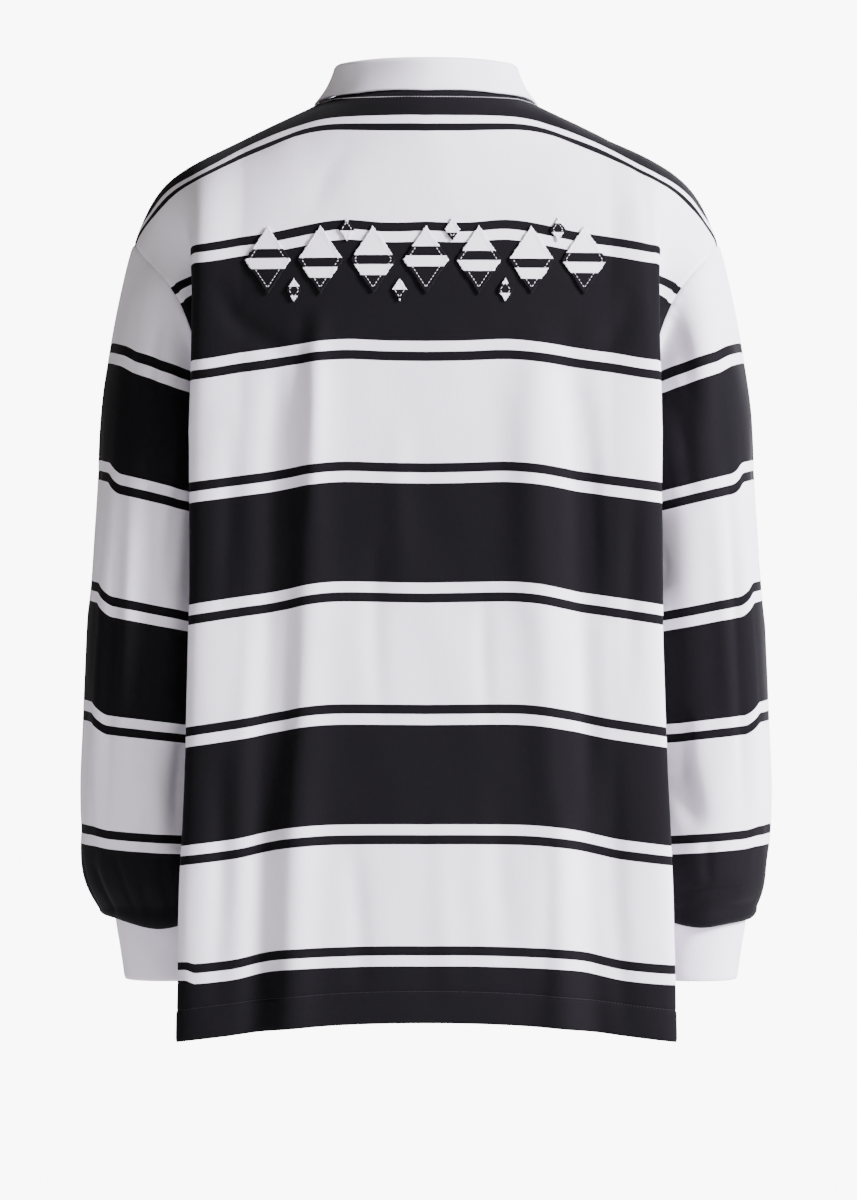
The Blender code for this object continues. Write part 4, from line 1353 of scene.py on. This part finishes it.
def lozenge_stitches(centre_x, centre_z, size, inset, lift):
    """Paths of running stitch a little inside the four edges of a patch."""
    share = 1 - inset * math.hypot(*size) / (size[0] * size[1])
    corners = np.array([(0, 1), (1, 0), (0, -1), (-1, 0), (0, 1)]) * size * share + (centre_x, centre_z)
    paths = []
    for first, last in zip(corners, corners[1:]):
        x, z = (first + (last - first) * np.linspace(0, 1, SHORT_LINE_POINTS)[:, None]).T
        line = on_back(x, z, lift)
        paths.append((line, outward(BACK, line)))
    return paths


def add_lozenges(jersey, thread):
    """Row of large patches, with small ones above and below the gaps, and their running stitch."""
    lift = JERSEY_THICK / 2 + LAID_GAP + PATCH_THICK / 2
    paths = []
    for number in range(2 * LOZENGE_COUNT - 1):
        size, rise, inset, cells = LOZENGE_SIZE, 0, LOZENGE_INSET, PATCH_CELLS
        if number % 2:
            size, inset, cells = SMALL_LOZENGE_SIZE, SMALL_LOZENGE_INSET, SMALL_PATCH_CELLS
            rise = SMALL_LOZENGE_RISE * (1 if number % 4 == 1 else -1)
        centre_x, centre_z = (number + 1 - LOZENGE_COUNT) * LOZENGE_PITCH / 2, LOZENGE_Z + rise
        patch = lozenge_grid(centre_x, centre_z, size, lift, cells)
        cut_shift = LOZENGE_CUT_SHIFT * math.sin(LOZENGE_CUT_STEP * number)
        black_z = centre_z + LOZENGE_BLACK_RISE * size[1] + cut_shift
        coords = np.stack([patch[..., 0], LOZENGE_BLACK_W + black_z - patch[..., 2]], axis=-1)
        item = add_cloth("patch_%02d" % (number + 1), patch, coords, jersey, "applique")
        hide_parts("lozenge_%02d" % (number + 1))
        paths += lozenge_stitches(centre_x, centre_z, size, inset, lift + PATCH_THICK / 2)
    add_stitches("patch_stitches", paths, STITCH_PITCH, thread)


# ======== camera and studio ========

BACKDROP_GLOW = 9.0       # what the camera sees behind the shirt
ROOM_GLOW = 0.1           # what lights it from all round
COOL = (0.955, 0.925, 1.0)
PLAIN = (1.0, 0.94, 0.89)
WARM = (1.0, 0.88, 0.76)
LIGHTS = table(
    "name place size power colour",
    ("key", (-4.7, 2.45, 1.9), 1.5, 1620, COOL),
    ("camera_side", (-0.6, 3.9, 2.9), 2.6, 68, PLAIN),
    ("far_side", (-1.6, -4.4, 0.8), 3.0, 300, COOL),
    ("arm_side", (3.8, -1.2, 0.6), 2.4, 19, WARM),
)
LIGHT_TARGET = (0, 0, -0.4)
FLOOR_HALF = 3.4
FLOOR_Z = -1.42
FLOOR_TONES = ((0.82, 0.82, 0.82, 1), (0.86, 0.86, 0.86, 1))


def add_camera():
    data = bpy.data.cameras.new("camera")
    data.sensor_width = SENSOR
    data.lens = SENSOR * CAMERA_DISTANCE / (IMAGE_SIZE[1] * PIXEL)
    camera = add_object("camera", data)
    x, z = ((centre - size / 2) * PIXEL * MM for centre, size in zip(CENTRE_PIXEL, IMAGE_SIZE))
    camera.location = (x, CAMERA_DISTANCE * MM, z)
    camera.rotation_euler = (math.pi / 2, 0, math.pi)
    bpy.context.scene.camera = camera


def add_area_light(spec):
    data = bpy.data.lights.new(spec.name, "AREA")
    data.shape = "DISK"
    data.size = spec.size
    data.energy = spec.power
    data.color = spec.colour
    light = add_object(spec.name, data)
    light.location = spec.place
    x, y, z = np.array(LIGHT_TARGET) - spec.place
    light.rotation_euler = (math.atan2(math.hypot(x, y), -z), 0, math.atan2(-x, y))


def add_floor():
    made, nodes = new_material("pale_floor")
    grain = nodes.add("TexNoise", {"Scale": 3.0})
    nodes.surface({"Base Color": nodes.mix(grain, *FLOOR_TONES), "Roughness": 0.8})
    mesh = bpy.data.meshes.new("floor")
    corners = [(x * FLOOR_HALF, y * FLOOR_HALF, FLOOR_Z) for x, y in ((-1, -1), (1, -1), (1, 1), (-1, 1))]
    mesh.from_pydata(corners, [], [(0, 1, 2, 3)])
    mesh.materials.append(made)
    add_object("floor", mesh)


def add_studio():
    world = bpy.data.worlds.new("studio")
    nodes = Nodes(world)
    seen = nodes.add("LightPath", output="Is Camera Ray")
    strength = nodes.total(ROOM_GLOW, (seen, BACKDROP_GLOW - ROOM_GLOW))
    nodes.add("OutputWorld", {0: nodes.add("Background", {"Color": (1, 1, 1, 1), "Strength": strength})})
    bpy.context.scene.world = world
    for light in LIGHTS:
        add_area_light(light)
    add_floor()


add_camera()
add_studio()
JERSEY = jersey_material()
RIB = rib_material()
BUTTON = button_material()
THREAD = thread_material("white_thread", WHITE_YARN)
DARK_THREAD = thread_material("black_thread", BLACK_YARN)
add_panels(JERSEY, THREAD, DARK_THREAD)
add_sleeves(JERSEY, RIB)
add_collar(RIB)
add_placket(JERSEY, THREAD)
for button_number in range(1, BUTTON_COUNT + 1):
    add_button(button_number, BUTTON, THREAD)
add_lozenges(JERSEY, THREAD)
